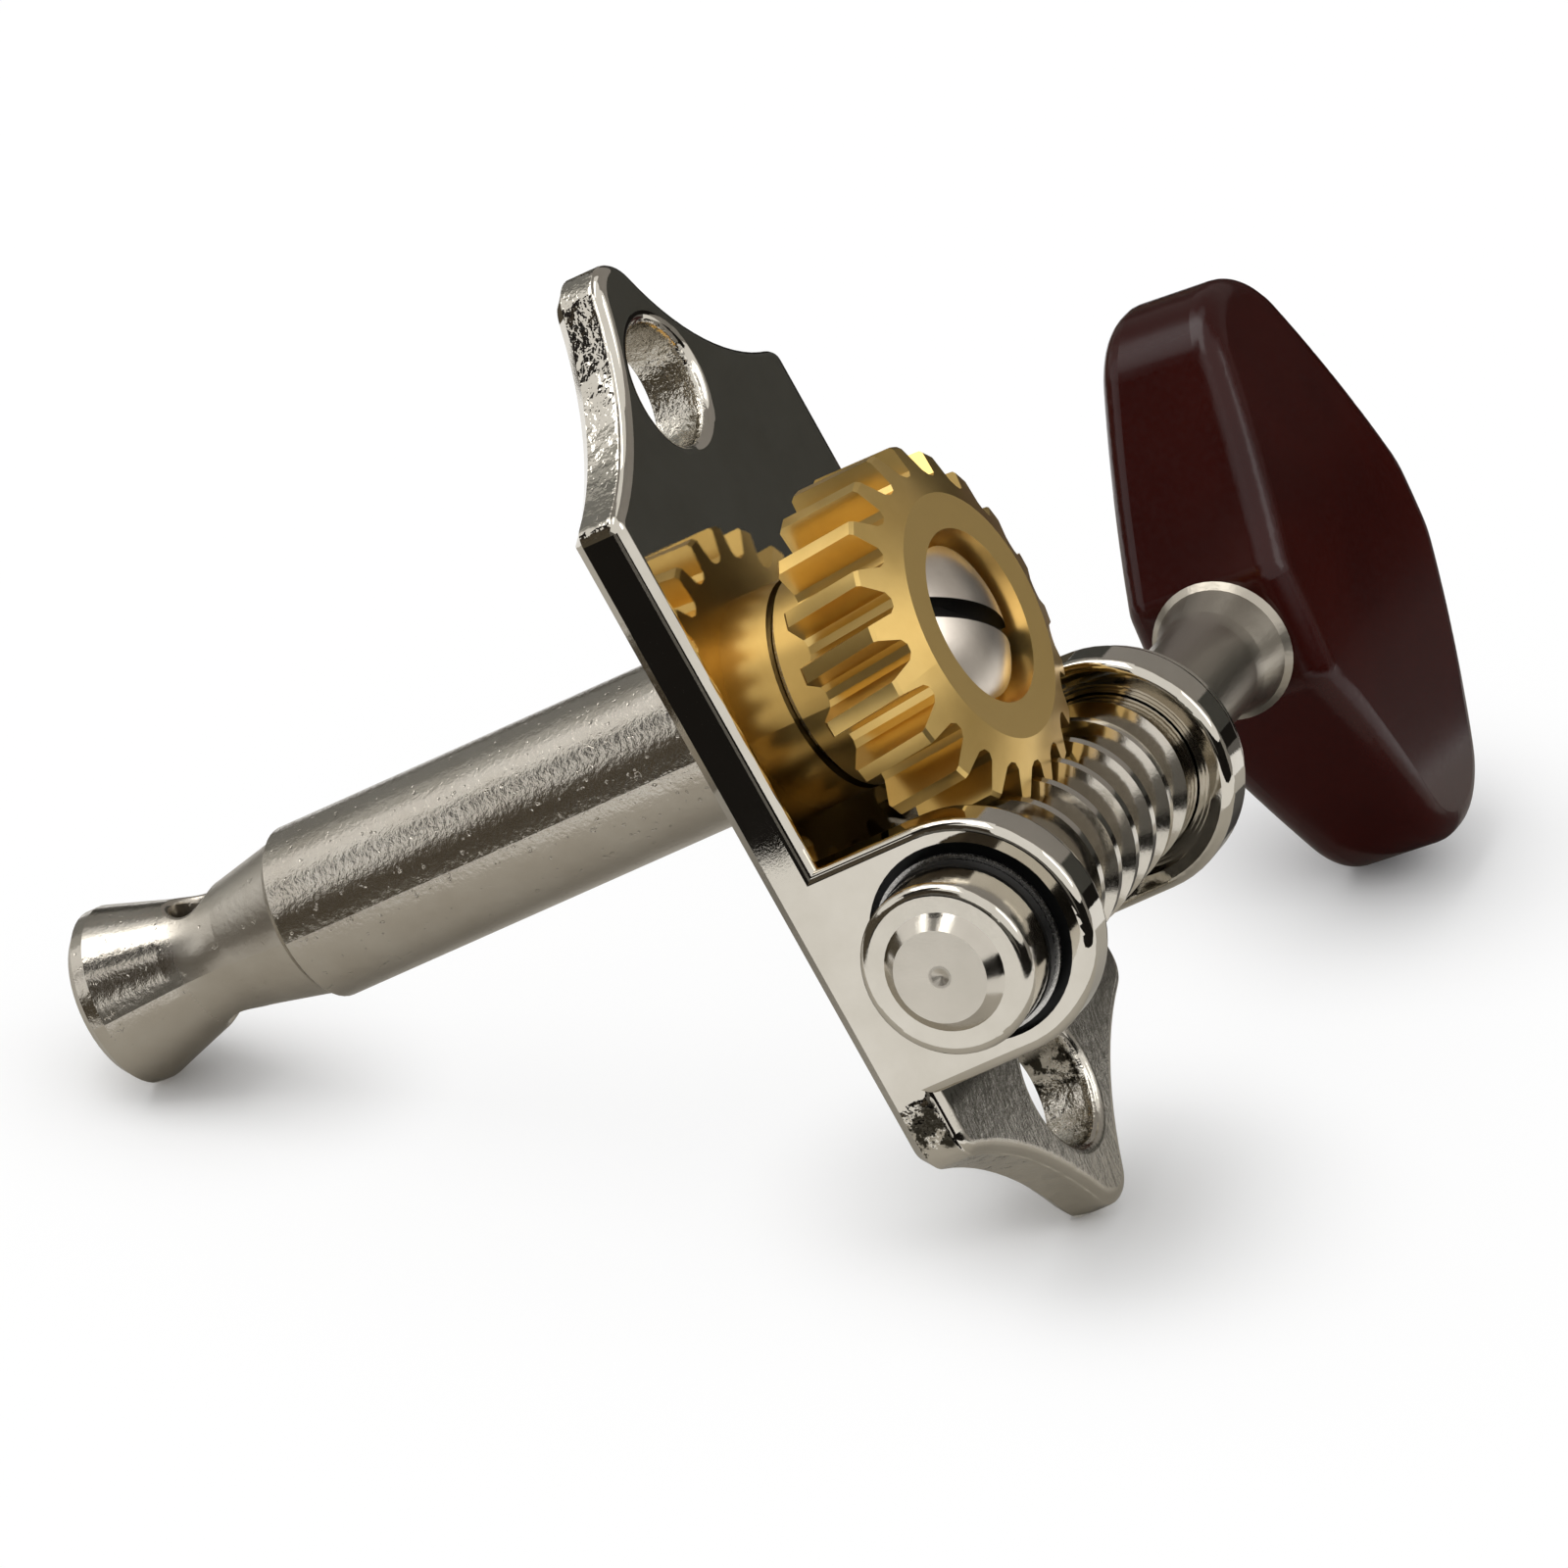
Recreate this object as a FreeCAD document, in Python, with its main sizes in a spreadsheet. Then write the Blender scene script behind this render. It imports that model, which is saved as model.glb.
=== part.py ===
import FreeCAD, Part
import math
import os
import Sketcher

# Open-gear guitar tuning machine, in millimetres.
# The origin is on the axis of the string post, in the face of the plate that lies on the headstock.
# +Z points to the gear side, the string post hangs down along -Z, the knob is at -X, and the worm
# crosses at +Y.

OUT = "parts"
os.makedirs(OUT, exist_ok=True)

doc = FreeCAD.newDocument("tuning_machine")
sheet = doc.addObject("Spreadsheet::Sheet", "sizes")

SIZES = [
    # Drive: the two pitch circles that touch, and the thread and teeth round them
    ("tooth_count", 20),
    ("wheel_pitch_radius", 5.61),
    ("wheel_addendum", 0.56),
    ("wheel_dedendum", 0.59),
    ("wheel_tooth_land", 0.50),
    ("wheel_gap_root_width", 0.60),
    ("wheel_gap_round", 0.16),
    ("worm_pitch_radius", 2.44),
    ("worm_addendum", 0.48),
    ("worm_dedendum", 0.70),
    ("worm_crest_width", 0.34),
    ("worm_groove_root_width", 0.58),
    ("worm_lift", 0.82),
    ("running_clearance", 0.03),
    # Base plate
    ("plate_width", 16.0),
    ("plate_thickness", 2.0),
    ("upper_corner", 9.3),
    ("upper_lobe", 6.3),
    ("lower_corner_margin", 2.28),
    ("lower_lobe", 5.1),
    ("tip_radius", 1.5),
    ("upper_scallop_radius", 10.5),
    ("lower_scallop_radius", 12.5),
    ("upper_corner_radius", 0.55),
    ("lower_corner_radius", 1.1),
    ("plate_top_round", 0.45),
    ("plate_bottom_bevel", 0.45),
    ("screw_hole_inset", 4.4),
    ("screw_hole_diameter", 4.2),
    ("screw_hole_round", 0.45),
    ("ear_thickness", 1.73),
    ("ear_bore_room", 0.53),
    ("ear_wall", 0.72),
    ("ear_round", 0.35),
    # String post
    ("post_diameter", 6.0),
    ("journal_diameter", 4.6),
    ("post_recess_depth", 0.15),
    ("post_recess_room", 0.15),
    ("post_seat_bevel", 0.15),
    ("gear_seat_diameter", 4.0),
    ("gear_seat_flat", 1.5),
    ("gear_seat_gap", 0.1),
    ("post_length", 27.0),
    ("post_end_length", 8.15),
    ("post_shoulder_round", 0.25),
    ("post_waist_height", 4.3),
    ("post_waist_diameter", 4.0),
    ("post_waist_round", 4.5),
    ("post_rim_height", 0.8),
    ("post_rim_diameter", 6.1),
    ("post_rim_round", 0.35),
    ("string_hole_height", 4.25),
    ("string_hole_diameter", 1.7),
    ("string_hole_round", 0.2),
    ("tapped_hole_diameter", 2.5),
    ("tapped_hole_length", 5.2),
    # Worm wheel, its washers and its screw
    ("thrust_washer_thickness", 0.12),
    ("thrust_washer_diameter", 6.8),
    ("hub_diameter", 7.44),
    ("wheel_width", 3.0),
    ("wheel_drop", 1.74),
    ("wheel_face_rise", 0.7),
    ("face_ring_diameter", 8.54),
    ("counterbore_diameter", 6.06),
    ("counterbore_depth", 1.5),
    ("wheel_edge_bevel", 0.12),
    ("screw_washer_thickness", 0.2),
    ("screw_washer_diameter", 5.6),
    ("screw_head_diameter", 5.3),
    ("screw_head_rim", 0.7),
    ("screw_head_dome", 0.75),
    ("thread_room", 0.05),
    ("screw_length", 4.6),
    ("screw_slot_width", 0.68),
    ("screw_slot_depth", 0.9),
    # Worm shaft, along the worm's axis
    ("journal_shaft_diameter", 4.1),
    ("worm_end_gap", 0.17),
    ("worm_end_depth", 0.55),
    ("thread_runout", 0.03),
    ("worm_end_bevel", 0.25),
    ("shaft_stub", 0.45),
    ("centre_mark_radius", 0.3),
    ("centre_mark_depth", 0.12),
    ("neck_diameter", 3.7),
    ("neck_length", 10.28),
    ("flare_length", 1.9),
    ("flare_rim_width", 0.45),
    ("flare_diameter", 4.9),
    ("flare_sweep", 2.2),
    ("flare_round", 0.22),
    ("tang_diameter", 2.6),
    ("tang_flat", 0.95),
    ("tang_gap", 0.9),
    ("knob_screw_hole_diameter", 1.4),
    ("knob_screw_hole_length", 4.5),
    # Bearings in the two ears
    ("bushing_proud", 0.2),
    ("bushing_rim_depth", 0.4),
    ("bushing_seat_diameter", 5.8),
    ("tension_washer_thickness", 0.15),
    ("tension_washer_diameter", 6.3),
    ("friction_washer_thickness", 0.42),
    ("friction_washer_diameter", 6.0),
    ("cap_length", 1.83),
    ("cap_diameter", 5.92),
    ("cap_back_bevel", 0.12),
    ("cap_edge_round", 0.35),
    ("cup_inset", 0.33),
    ("cup_flange_width", 0.5),
    ("cup_flange_thickness", 0.3),
    ("cup_clearance", 0.05),
    ("cup_ring_count", 3),
    ("cup_ring_depth", 0.1),
    # Knob
    ("knob_length", 20.4),
    ("knob_depth", 12.45),
    ("knob_end_width", 4.3),
    ("knob_end_centre", 7.14),
    ("knob_seat_flat", 4.0),
    ("knob_outer_flat", 2.6),
    ("knob_thickness", 6.15),
    ("knob_end_thickness", 4.15),
    ("knob_seat_round", 1.2),
    ("knob_inner_round", 3.2),
    ("knob_end_round", 3.0),
    ("knob_outer_round", 3.0),
    ("knob_edge_round", 0.95),
    ("knob_counterbore_diameter", 3.0),
    ("knob_counterbore_depth", 1.9),
    ("knob_washer_thickness", 0.3),
    ("knob_washer_diameter", 2.8),
    ("knob_screw_head_diameter", 2.6),
    ("knob_screw_head_height", 1.0),
    ("knob_screw_head_round", 0.3),
    ("knob_screw_length", 4.6),
    ("knob_screw_slot_width", 0.5),
    ("knob_screw_slot_depth", 0.55),
    # How far a cutting sketch reaches past the metal
    ("overrun", 1.0),
]


class Size:
    """A length with its number and the sheet formula that gives it."""

    def __init__(self, number, formula):
        self.number = number
        self.formula = formula

    def combine(self, sign, other, result, swap=False):
        text = other.formula if isinstance(other, Size) else repr(other)
        pair = (text, self.formula) if swap else (self.formula, text)
        return Size(result, "(%s %s %s)" % (pair[0], sign, pair[1]))

    def __add__(self, other):
        return self.combine("+", other, self.number + number(other))

    def __sub__(self, other):
        return self.combine("-", other, self.number - number(other))

    def __mul__(self, other):
        return self.combine("*", other, self.number * number(other))

    def __truediv__(self, other):
        return self.combine("/", other, self.number / number(other))

    def __neg__(self):
        return Size(-self.number, "(0 - %s)" % self.formula)

    __radd__ = __add__
    __rmul__ = __mul__


def number(value):
    return value.number if isinstance(value, Size) else value


def square_root(area):
    return Size(math.sqrt(area.number), "sqrt(%s)" % area.formula)


def smaller(first, second):
    return Size(min(first.number, second.number), "min(%s; %s)" % (first.formula, second.formula))


ZERO = Size(0.0, "0")

# The slot of the gear screw stands at this angle, in degrees, from the worm's direction
SLOT_TURN = Size(-34.0, "(0 - 34)")

# The knob stands a little turned about the worm's axis, in degrees, and so do the flats that it sits on
KNOB_TURN = Size(-5.0, "(0 - 5)")

# Two lengths closer than this are the same
TOLERANCE = 1e-4

# The rounded rim of a screw hole takes at most this much of the flat metal beside it
RIM_SHARE = 0.92


class Sizes:
    """Every cell of the sheet by its name."""


size = Sizes()
for row, (alias, value) in enumerate(SIZES, start=1):
    sheet.set("A%d" % row, alias)
    sheet.set("B%d" % row, str(value))
    sheet.setAlias("B%d" % row, alias)
    setattr(size, alias, Size(float(value), "sizes." + alias))
doc.recompute()


# Sketches and features

def new_body(label):
    body = doc.addObject("PartDesign::Body", label)
    body.Label = label
    return body


def origin_plane(body, role):
    return [part for part in body.Origin.OriginFeatures if part.Role == role][0]


def new_sketch(body, name, role, shift=None, turn=None):
    """A sketch on a plane of the body's own origin, shifted along the plane's normal and turned in it."""
    sketch = body.newObject("Sketcher::SketchObject", name)
    sketch.AttachmentSupport = [(origin_plane(body, role), "")]
    sketch.MapMode = "FlatFace"
    if turn is not None:
        sketch.AttachmentOffset = FreeCAD.Placement(
            FreeCAD.Vector(), FreeCAD.Rotation(FreeCAD.Vector(0, 0, 1), turn.number))
        sketch.setExpression("AttachmentOffset.Rotation.Angle", turn.formula)
    if shift is not None:
        sketch.setExpression("AttachmentOffset.Base.z", shift.formula)
    return sketch


def bind(sketch, constraint, formula):
    index = sketch.addConstraint(constraint)
    sketch.setExpression("Constraints[%d]" % index, formula)


def pin(sketch, edge, end, point):
    """Hold one end of an edge at a point given in sheet sizes."""
    along, up = point
    if along is ZERO:
        sketch.addConstraint(Sketcher.Constraint("PointOnObject", edge, end, -2))
    else:
        bind(sketch, Sketcher.Constraint("DistanceX", -1, 1, edge, end, along.number), along.formula)
    if up is ZERO:
        sketch.addConstraint(Sketcher.Constraint("PointOnObject", edge, end, -1))
    else:
        bind(sketch, Sketcher.Constraint("DistanceY", -1, 1, edge, end, up.number), up.formula)


def vector(point):
    return FreeCAD.Vector(point[0].number, point[1].number, 0)


def polygon(sketch, points):
    """A closed outline of straight edges through points given in sheet sizes."""
    first = sketch.GeometryCount
    for start, end in zip(points, points[1:] + points[:1]):
        sketch.addGeometry(Part.LineSegment(vector(start), vector(end)))
    for index, point in enumerate(points):
        sketch.addConstraint(Sketcher.Constraint(
            "Coincident", first + index, 2, first + (index + 1) % len(points), 1))
        pin(sketch, first + index, 1, point)


def circle(sketch, centre, diameter):
    edge = sketch.addGeometry(Part.Circle(vector(centre), FreeCAD.Vector(0, 0, 1), diameter.number / 2))
    bind(sketch, Sketcher.Constraint("Diameter", edge, diameter.number), diameter.formula)
    pin(sketch, edge, 3, centre)


def bound(feature, **lengths):
    for name, length in lengths.items():
        feature.setExpression(name, length.formula)


def revolve(body, name, sketch, axis):
    feature = body.newObject("PartDesign::Revolution", name)
    feature.Profile = (sketch, [""])
    feature.ReferenceAxis = (sketch, [axis])
    feature.Angle = 360
    sketch.Visibility = False
    doc.recompute()
    return feature


def turned(label, outlines, role, axis):
    """A body turned about its axis from closed outlines."""
    body = new_body(label)
    sketch = new_sketch(body, label + "_outline", role)
    for points in outlines:
        polygon(sketch, points)
    revolve(body, label + "_turning", sketch, axis)
    return body


def pad(body, name, sketch, length, midplane=False, reversed_=False):
    feature = body.newObject("PartDesign::Pad", name)
    feature.Profile = (sketch, [""])
    feature.Midplane = midplane
    feature.Reversed = reversed_
    bound(feature, Length=length)
    sketch.Visibility = False
    doc.recompute()
    return feature


def pocket(body, name, sketch, length=None, midplane=False, reversed_=False):
    """A cut, through everything unless it has a length; it must take metal away."""
    before = body.Shape.Volume
    feature = body.newObject("PartDesign::Pocket", name)
    feature.Profile = (sketch, [""])
    feature.Midplane = midplane
    feature.Reversed = reversed_
    if length is None:
        feature.Type = "ThroughAll"
    else:
        bound(feature, Length=length)
    sketch.Visibility = False
    doc.recompute()
    must_shrink(body, before, name)
    return feature


def must_shrink(body, before, name):
    if body.Shape.Volume >= before:
        raise RuntimeError("%s cut nothing" % name)


def dress(body, kind, name, radius, chosen):
    """Round or bevel the edges that the test picks."""
    base = body.Tip
    names = []
    for index, edge in enumerate(base.Shape.Edges, start=1):
        if chosen(edge):
            names.append("Edge%d" % index)
    if not names:
        raise RuntimeError("%s found no edge" % name)
    feature = body.newObject("PartDesign::" + kind, name)
    feature.Base = (base, names)
    bound(feature, **{"Radius" if kind == "Fillet" else "Size": radius})
    doc.recompute()
    return feature


def near(first, second):
    return abs(first - number(second)) < TOLERANCE


# Where the drive lies: the pitch circles touch, and the worm clears the plate
centre_distance = size.wheel_pitch_radius + size.worm_pitch_radius
worm_radius = size.worm_pitch_radius + size.worm_addendum
worm_root_radius = size.worm_pitch_radius - size.worm_dedendum
worm_height = size.plate_thickness + size.worm_lift + worm_radius
worm_pitch = size.wheel_pitch_radius * (2 * math.pi) / size.tooth_count
wheel_tip_radius = size.wheel_pitch_radius + size.wheel_addendum
wheel_root_radius = size.wheel_pitch_radius - size.wheel_dedendum

# Heights on the post's axis
wheel_back = worm_height - size.wheel_drop
wheel_front = wheel_back + size.wheel_width
wheel_face = wheel_front + size.wheel_face_rise
counterbore_floor = wheel_face - size.counterbore_depth
washer_top = size.plate_thickness + size.thrust_washer_thickness
hub_bottom = washer_top + size.running_clearance
head_seat = counterbore_floor + size.screw_washer_thickness
seat_top = counterbore_floor - size.gear_seat_gap
post_shoulder_depth = size.post_length - size.post_end_length
post_waist_depth = size.post_length - size.post_waist_height
string_hole_depth = size.post_length - size.string_hole_height

# Base plate and its ears
half_plate = size.plate_width / 2
ear_back = half_plate - size.ear_thickness
ear_bore_radius = worm_radius + size.ear_bore_room
ear_radius = ear_bore_radius + size.ear_wall
upper_tip = size.upper_corner + size.upper_lobe
lower_corner = centre_distance + ear_radius + size.lower_corner_margin
lower_tip = lower_corner + size.lower_lobe
upper_hole = upper_tip - size.screw_hole_inset
lower_hole = lower_tip - size.screw_hole_inset

# Stations along the worm's axis, away from the post's axis: the near side first, then the far side
worm_near_end = ear_back - size.worm_end_gap
bushing_face = half_plate + size.bushing_proud
tension_washer_front = bushing_face + size.tension_washer_thickness
friction_washer_back = tension_washer_front + size.running_clearance
cap_back = friction_washer_back + size.friction_washer_thickness
cap_front = cap_back + size.cap_length
shaft_end = cap_front + size.shaft_stub
cup_face = ear_back + size.cup_inset
thread_far_end = ear_back + size.thread_runout
worm_far_end = half_plate - size.worm_end_depth
knob_seat = half_plate + size.neck_length
flare_start = knob_seat - size.flare_length
flare_end = knob_seat - size.flare_rim_width
knob_outer = knob_seat + size.knob_depth
knob_near_corner = knob_seat + size.knob_end_centre - size.knob_end_width / 2
knob_far_corner = knob_seat + size.knob_end_centre + size.knob_end_width / 2
knob_counterbore_floor = knob_outer - size.knob_counterbore_depth
tang_end = knob_counterbore_floor - size.tang_gap
knob_washer_front = knob_counterbore_floor + size.knob_washer_thickness
knob_head_top = knob_washer_front + size.knob_screw_head_height

# Whole turns of thread from the post's axis to where the groove starts, past the worm's near end
groove_mouth = (worm_pitch - size.worm_crest_width) / 2
THREAD_TURNS = math.ceil((worm_near_end.number + groove_mouth.number) / worm_pitch.number)


def on_worm_axis(body, turn=ZERO):
    """Put a body that was modelled about X on the worm's axis, with its own +Y towards the post."""
    body.Placement = FreeCAD.Placement(
        FreeCAD.Vector(0, centre_distance.number, worm_height.number),
        FreeCAD.Rotation(FreeCAD.Vector(1, 0, 0), 180 + turn.number))
    body.setExpression("Placement.Base.y", centre_distance.formula)
    body.setExpression("Placement.Base.z", worm_height.formula)
    return body


# Base plate

def tangent_scallop(corner, tip, radius):
    """Centre of the scallop that runs from a corner and touches the round tip, on the +X side."""
    tip_centre = tip - size.tip_radius.number
    reach = radius + size.tip_radius.number
    across = half_plate.number
    away = tip_centre - corner
    gap = math.hypot(across, away)
    along = (gap ** 2 + radius ** 2 - reach ** 2) / (2 * gap)
    aside = math.sqrt(radius ** 2 - along ** 2)
    middle_x = across - along * across / gap
    middle_y = corner + along * away / gap
    return middle_x + aside * away / gap, middle_y + aside * across / gap


def plate_end(sketch, corner, tip, radius, side):
    """Both scallops and the round tip of one plate end; side is -1 at the upper end and 1 at the lower."""
    centre_x, centre_y = tangent_scallop(corner.number, tip.number, radius.number)
    tip_y = tip.number - size.tip_radius.number
    reach = radius.number + size.tip_radius.number
    touch_x = centre_x * size.tip_radius.number / reach
    touch_y = tip_y + (centre_y - tip_y) * size.tip_radius.number / reach
    edges = []
    for hand in (1, -1):
        start = (hand * half_plate.number, side * corner.number)
        end = (hand * touch_x, side * touch_y)
        edges.append(arc_between(sketch, start, end, (hand * centre_x, side * centre_y)))
    cap = arc_between(sketch, (touch_x, side * touch_y), (-touch_x, side * touch_y), (0.0, side * tip_y))
    for edge in edges:
        bind(sketch, Sketcher.Constraint("Radius", edge, radius.number), radius.formula)
    bind(sketch, Sketcher.Constraint("Radius", cap, size.tip_radius.number), size.tip_radius.formula)
    sketch.addConstraint(Sketcher.Constraint("PointOnObject", cap, 3, -2))
    centre = (tip - size.tip_radius) if side > 0 else -(tip - size.tip_radius)
    bind(sketch, Sketcher.Constraint("DistanceY", -1, 1, cap, 3, centre.number), centre.formula)
    return edges, cap


def arc_between(sketch, start, end, centre):
    """The shorter arc about a centre, drawn the way that an arc must run."""
    radius = math.hypot(start[0] - centre[0], start[1] - centre[1])
    first = math.atan2(start[1] - centre[1], start[0] - centre[0])
    last = math.atan2(end[1] - centre[1], end[0] - centre[0])
    if (last - first) % (2 * math.pi) > math.pi:
        first, last = last, first
    whole = Part.Circle(FreeCAD.Vector(centre[0], centre[1], 0), FreeCAD.Vector(0, 0, 1), radius)
    return sketch.addGeometry(Part.ArcOfCircle(whole, first, last))


def end_at(sketch, edge, point):
    """Which end of an edge lies at a point: 1 for its start, 2 for its end."""
    start = sketch.getPoint(edge, 1)
    return 1 if math.hypot(start.x - point[0], start.y - point[1]) < TOLERANCE else 2


def plate_outline(body):
    sketch = new_sketch(body, "plate_outline", "XY_Plane")
    half = half_plate.number
    sides = {}
    for hand in (1, -1):
        low = FreeCAD.Vector(hand * half, lower_corner.number, 0)
        high = FreeCAD.Vector(hand * half, -size.upper_corner.number, 0)
        sides[hand] = sketch.addGeometry(Part.LineSegment(high, low))
        along = half_plate if hand > 0 else -half_plate
        pin(sketch, sides[hand], 1, (along, -size.upper_corner))
        pin(sketch, sides[hand], 2, (along, lower_corner))
    ends = ((size.upper_corner, upper_tip, size.upper_scallop_radius, -1),
            (lower_corner, lower_tip, size.lower_scallop_radius, 1))
    for corner, tip, radius, side in ends:
        scallops, cap = plate_end(sketch, corner, tip, radius, side)
        for hand, edge in zip((1, -1), scallops):
            place = (hand * half, side * corner.number)
            near_end = end_at(sketch, edge, place)
            sketch.addConstraint(Sketcher.Constraint(
                "Coincident", sides[hand], 1 if side < 0 else 2, edge, near_end))
            far_end = 3 - near_end
            point = sketch.getPoint(edge, far_end)
            sketch.addConstraint(Sketcher.Constraint(
                "Tangent", edge, far_end, cap, end_at(sketch, cap, (point.x, point.y))))
    return sketch


def ear_outline(body, name, shift):
    """The round-topped bearing lug with its bore, across the worm's axis."""
    sketch = new_sketch(body, name, "YZ_Plane", shift=shift)
    left = centre_distance - ear_radius
    right = centre_distance + ear_radius
    foot = size.plate_bottom_bevel
    corners = [(left, worm_height), (left, foot), (right, foot), (right, worm_height)]
    for start, end in zip(corners, corners[1:]):
        sketch.addGeometry(Part.LineSegment(vector(start), vector(end)))
    crown = Part.Circle(vector((centre_distance, worm_height)),
                        FreeCAD.Vector(0, 0, 1), ear_radius.number)
    top = sketch.addGeometry(Part.ArcOfCircle(crown, 0, math.pi))
    sketch.addConstraint(Sketcher.Constraint("Coincident", 0, 2, 1, 1))
    sketch.addConstraint(Sketcher.Constraint("Coincident", 1, 2, 2, 1))
    sketch.addConstraint(Sketcher.Constraint("Coincident", 2, 2, top, 1))
    sketch.addConstraint(Sketcher.Constraint("Coincident", 0, 1, top, 2))
    pin(sketch, 0, 1, corners[0])
    pin(sketch, 1, 1, corners[1])
    pin(sketch, 2, 1, corners[2])
    pin(sketch, 2, 2, corners[3])
    bind(sketch, Sketcher.Constraint("DistanceY", -1, 1, top, 3, worm_height.number),
         worm_height.formula)
    return sketch


def hole_land(lobe, radius):
    """The narrowest metal between a screw hole and the scallops beside it."""
    rise = lobe - size.tip_radius
    reach = radius + size.tip_radius
    span = half_plate * half_plate + rise * rise
    along = (reach * reach + span - radius * radius) / (span * 2)
    aside = square_root(reach * reach / span - along * along)
    scallop = along * rise - half_plate * aside
    hole = size.screw_hole_inset - size.tip_radius
    away = square_root(reach * reach + hole * hole - hole * scallop * 2)
    return away - radius - size.screw_hole_diameter / 2


def make_base_plate():
    body = new_body("base_plate")
    pad(body, "plate_pad", plate_outline(body), size.plate_thickness)
    dress(body, "Fillet", "upper_corners", size.upper_corner_radius, is_upper_corner)
    dress(body, "Fillet", "lower_corners", size.lower_corner_radius, is_lower_corner)
    dress(body, "Fillet", "plate_top_edge", size.plate_top_round, is_top_outline)
    dress(body, "Chamfer", "plate_bottom_edge", size.plate_bottom_bevel, is_bottom_outline)
    pad(body, "near_ear", ear_outline(body, "near_ear_outline", ear_back), size.ear_thickness)
    pad(body, "far_ear", ear_outline(body, "far_ear_outline", -half_plate), size.ear_thickness)
    dress(body, "Fillet", "ear_edges", size.ear_round, is_ear_rim)
    bores = new_sketch(body, "ear_bores", "YZ_Plane")
    circle(bores, (centre_distance, worm_height), ear_bore_radius * 2)
    pocket(body, "ear_bore_cut", bores, size.plate_width + size.overrun * 2, midplane=True)
    holes = new_sketch(body, "plate_holes", "XY_Plane")
    circle(holes, (ZERO, -upper_hole), size.screw_hole_diameter)
    circle(holes, (ZERO, lower_hole), size.screw_hole_diameter)
    circle(holes, (ZERO, ZERO), size.journal_diameter + size.running_clearance * 2)
    pocket(body, "plate_hole_cut", holes, reversed_=True)
    recess = new_sketch(body, "post_recess_outline", "XY_Plane")
    circle(recess, (ZERO, ZERO), size.post_diameter + size.post_recess_room * 2)
    pocket(body, "post_recess", recess, size.post_recess_depth, reversed_=True)
    land = smaller(hole_land(size.upper_lobe, size.upper_scallop_radius),
                   hole_land(size.lower_lobe, size.lower_scallop_radius))
    rim_round = smaller(size.screw_hole_round, (land - size.plate_top_round) * RIM_SHARE)
    dress(body, "Fillet", "screw_hole_rims", rim_round, is_screw_hole_rim)
    return body


def is_upper_corner(edge):
    return is_plate_corner(edge, -size.upper_corner)


def is_lower_corner(edge):
    return is_plate_corner(edge, lower_corner)


def is_plate_corner(edge, along):
    if len(edge.Vertexes) != 2:
        return False
    first, last = (vertex.Point for vertex in edge.Vertexes)
    upright = near(first.x, last.x) and near(first.y, last.y)
    return upright and near(abs(first.x), half_plate) and near(first.y, along)


def is_flat_at(edge, height):
    return near(edge.BoundBox.ZMin, height) and near(edge.BoundBox.ZMax, height)


def is_top_outline(edge):
    return is_flat_at(edge, size.plate_thickness)


def is_bottom_outline(edge):
    return is_flat_at(edge, 0.0)


def is_ear_rim(edge):
    """The long edges round both faces of each ear, above the plate."""
    box = edge.BoundBox
    flat = near(box.XMin, box.XMax)
    on_face = near(abs(box.XMin), half_plate) or near(abs(box.XMin), ear_back)
    return flat and on_face and box.ZMax > worm_height.number - TOLERANCE


def is_screw_hole_rim(edge):
    if not is_flat_at(edge, size.plate_thickness) or not isinstance(edge.Curve, Part.Circle):
        return False
    return near(edge.Curve.Radius, size.screw_hole_diameter / 2)


# Parts on the post's axis

def make_string_post():
    post = size.post_diameter / 2
    journal = size.journal_diameter / 2
    seat = size.gear_seat_diameter / 2
    waist = size.post_waist_diameter / 2
    rim = size.post_rim_diameter / 2
    body = turned("string_post", [[
        (ZERO, seat_top),
        (seat, seat_top),
        (seat, hub_bottom),
        (journal, hub_bottom),
        (journal, size.post_recess_depth),
        (post - size.post_seat_bevel, size.post_recess_depth),
        (post, ZERO),
        (post, -post_shoulder_depth),
        (post - size.post_shoulder_round, -(post_shoulder_depth + size.post_shoulder_round)),
        (waist, -post_waist_depth),
        (rim, -(size.post_length - size.post_rim_height)),
        (rim, -(size.post_length - size.post_rim_round)),
        (rim - size.post_rim_round, -size.post_length),
        (ZERO, -size.post_length),
    ]], "XZ_Plane", "V_Axis")
    dress(body, "Fillet", "post_waist_fillet", size.post_waist_round, is_post_waist)
    hole = new_sketch(body, "string_hole_outline", "XZ_Plane")
    circle(hole, (ZERO, -string_hole_depth), size.string_hole_diameter)
    pocket(body, "string_hole", hole, size.post_diameter * 2, midplane=True)
    dress(body, "Fillet", "string_hole_rims", size.string_hole_round, is_string_hole_rim)
    flat = new_sketch(body, "gear_seat_flat_outline", "XY_Plane", shift=hub_bottom)
    wide = size.gear_seat_diameter
    polygon(flat, [(-wide, size.gear_seat_flat), (wide, size.gear_seat_flat), (wide, wide), (-wide, wide)])
    pocket(body, "gear_seat_flat_cut", flat, reversed_=True)
    tap = new_sketch(body, "tapped_hole_outline", "XY_Plane", shift=seat_top)
    circle(tap, (ZERO, ZERO), size.tapped_hole_diameter)
    pocket(body, "tapped_hole", tap, size.tapped_hole_length)
    return body


def is_post_waist(edge):
    return is_flat_at(edge, -post_waist_depth)


def is_string_hole_rim(edge):
    """The two wavy edges where the string hole breaks out of the waist."""
    box = edge.BoundBox
    reach = size.string_hole_diameter.number / 2 + TOLERANCE
    level = abs(box.Center.z + string_hole_depth.number) < reach
    return level and max(abs(box.XMin), abs(box.XMax)) < reach and box.YMin * box.YMax > 0


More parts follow.
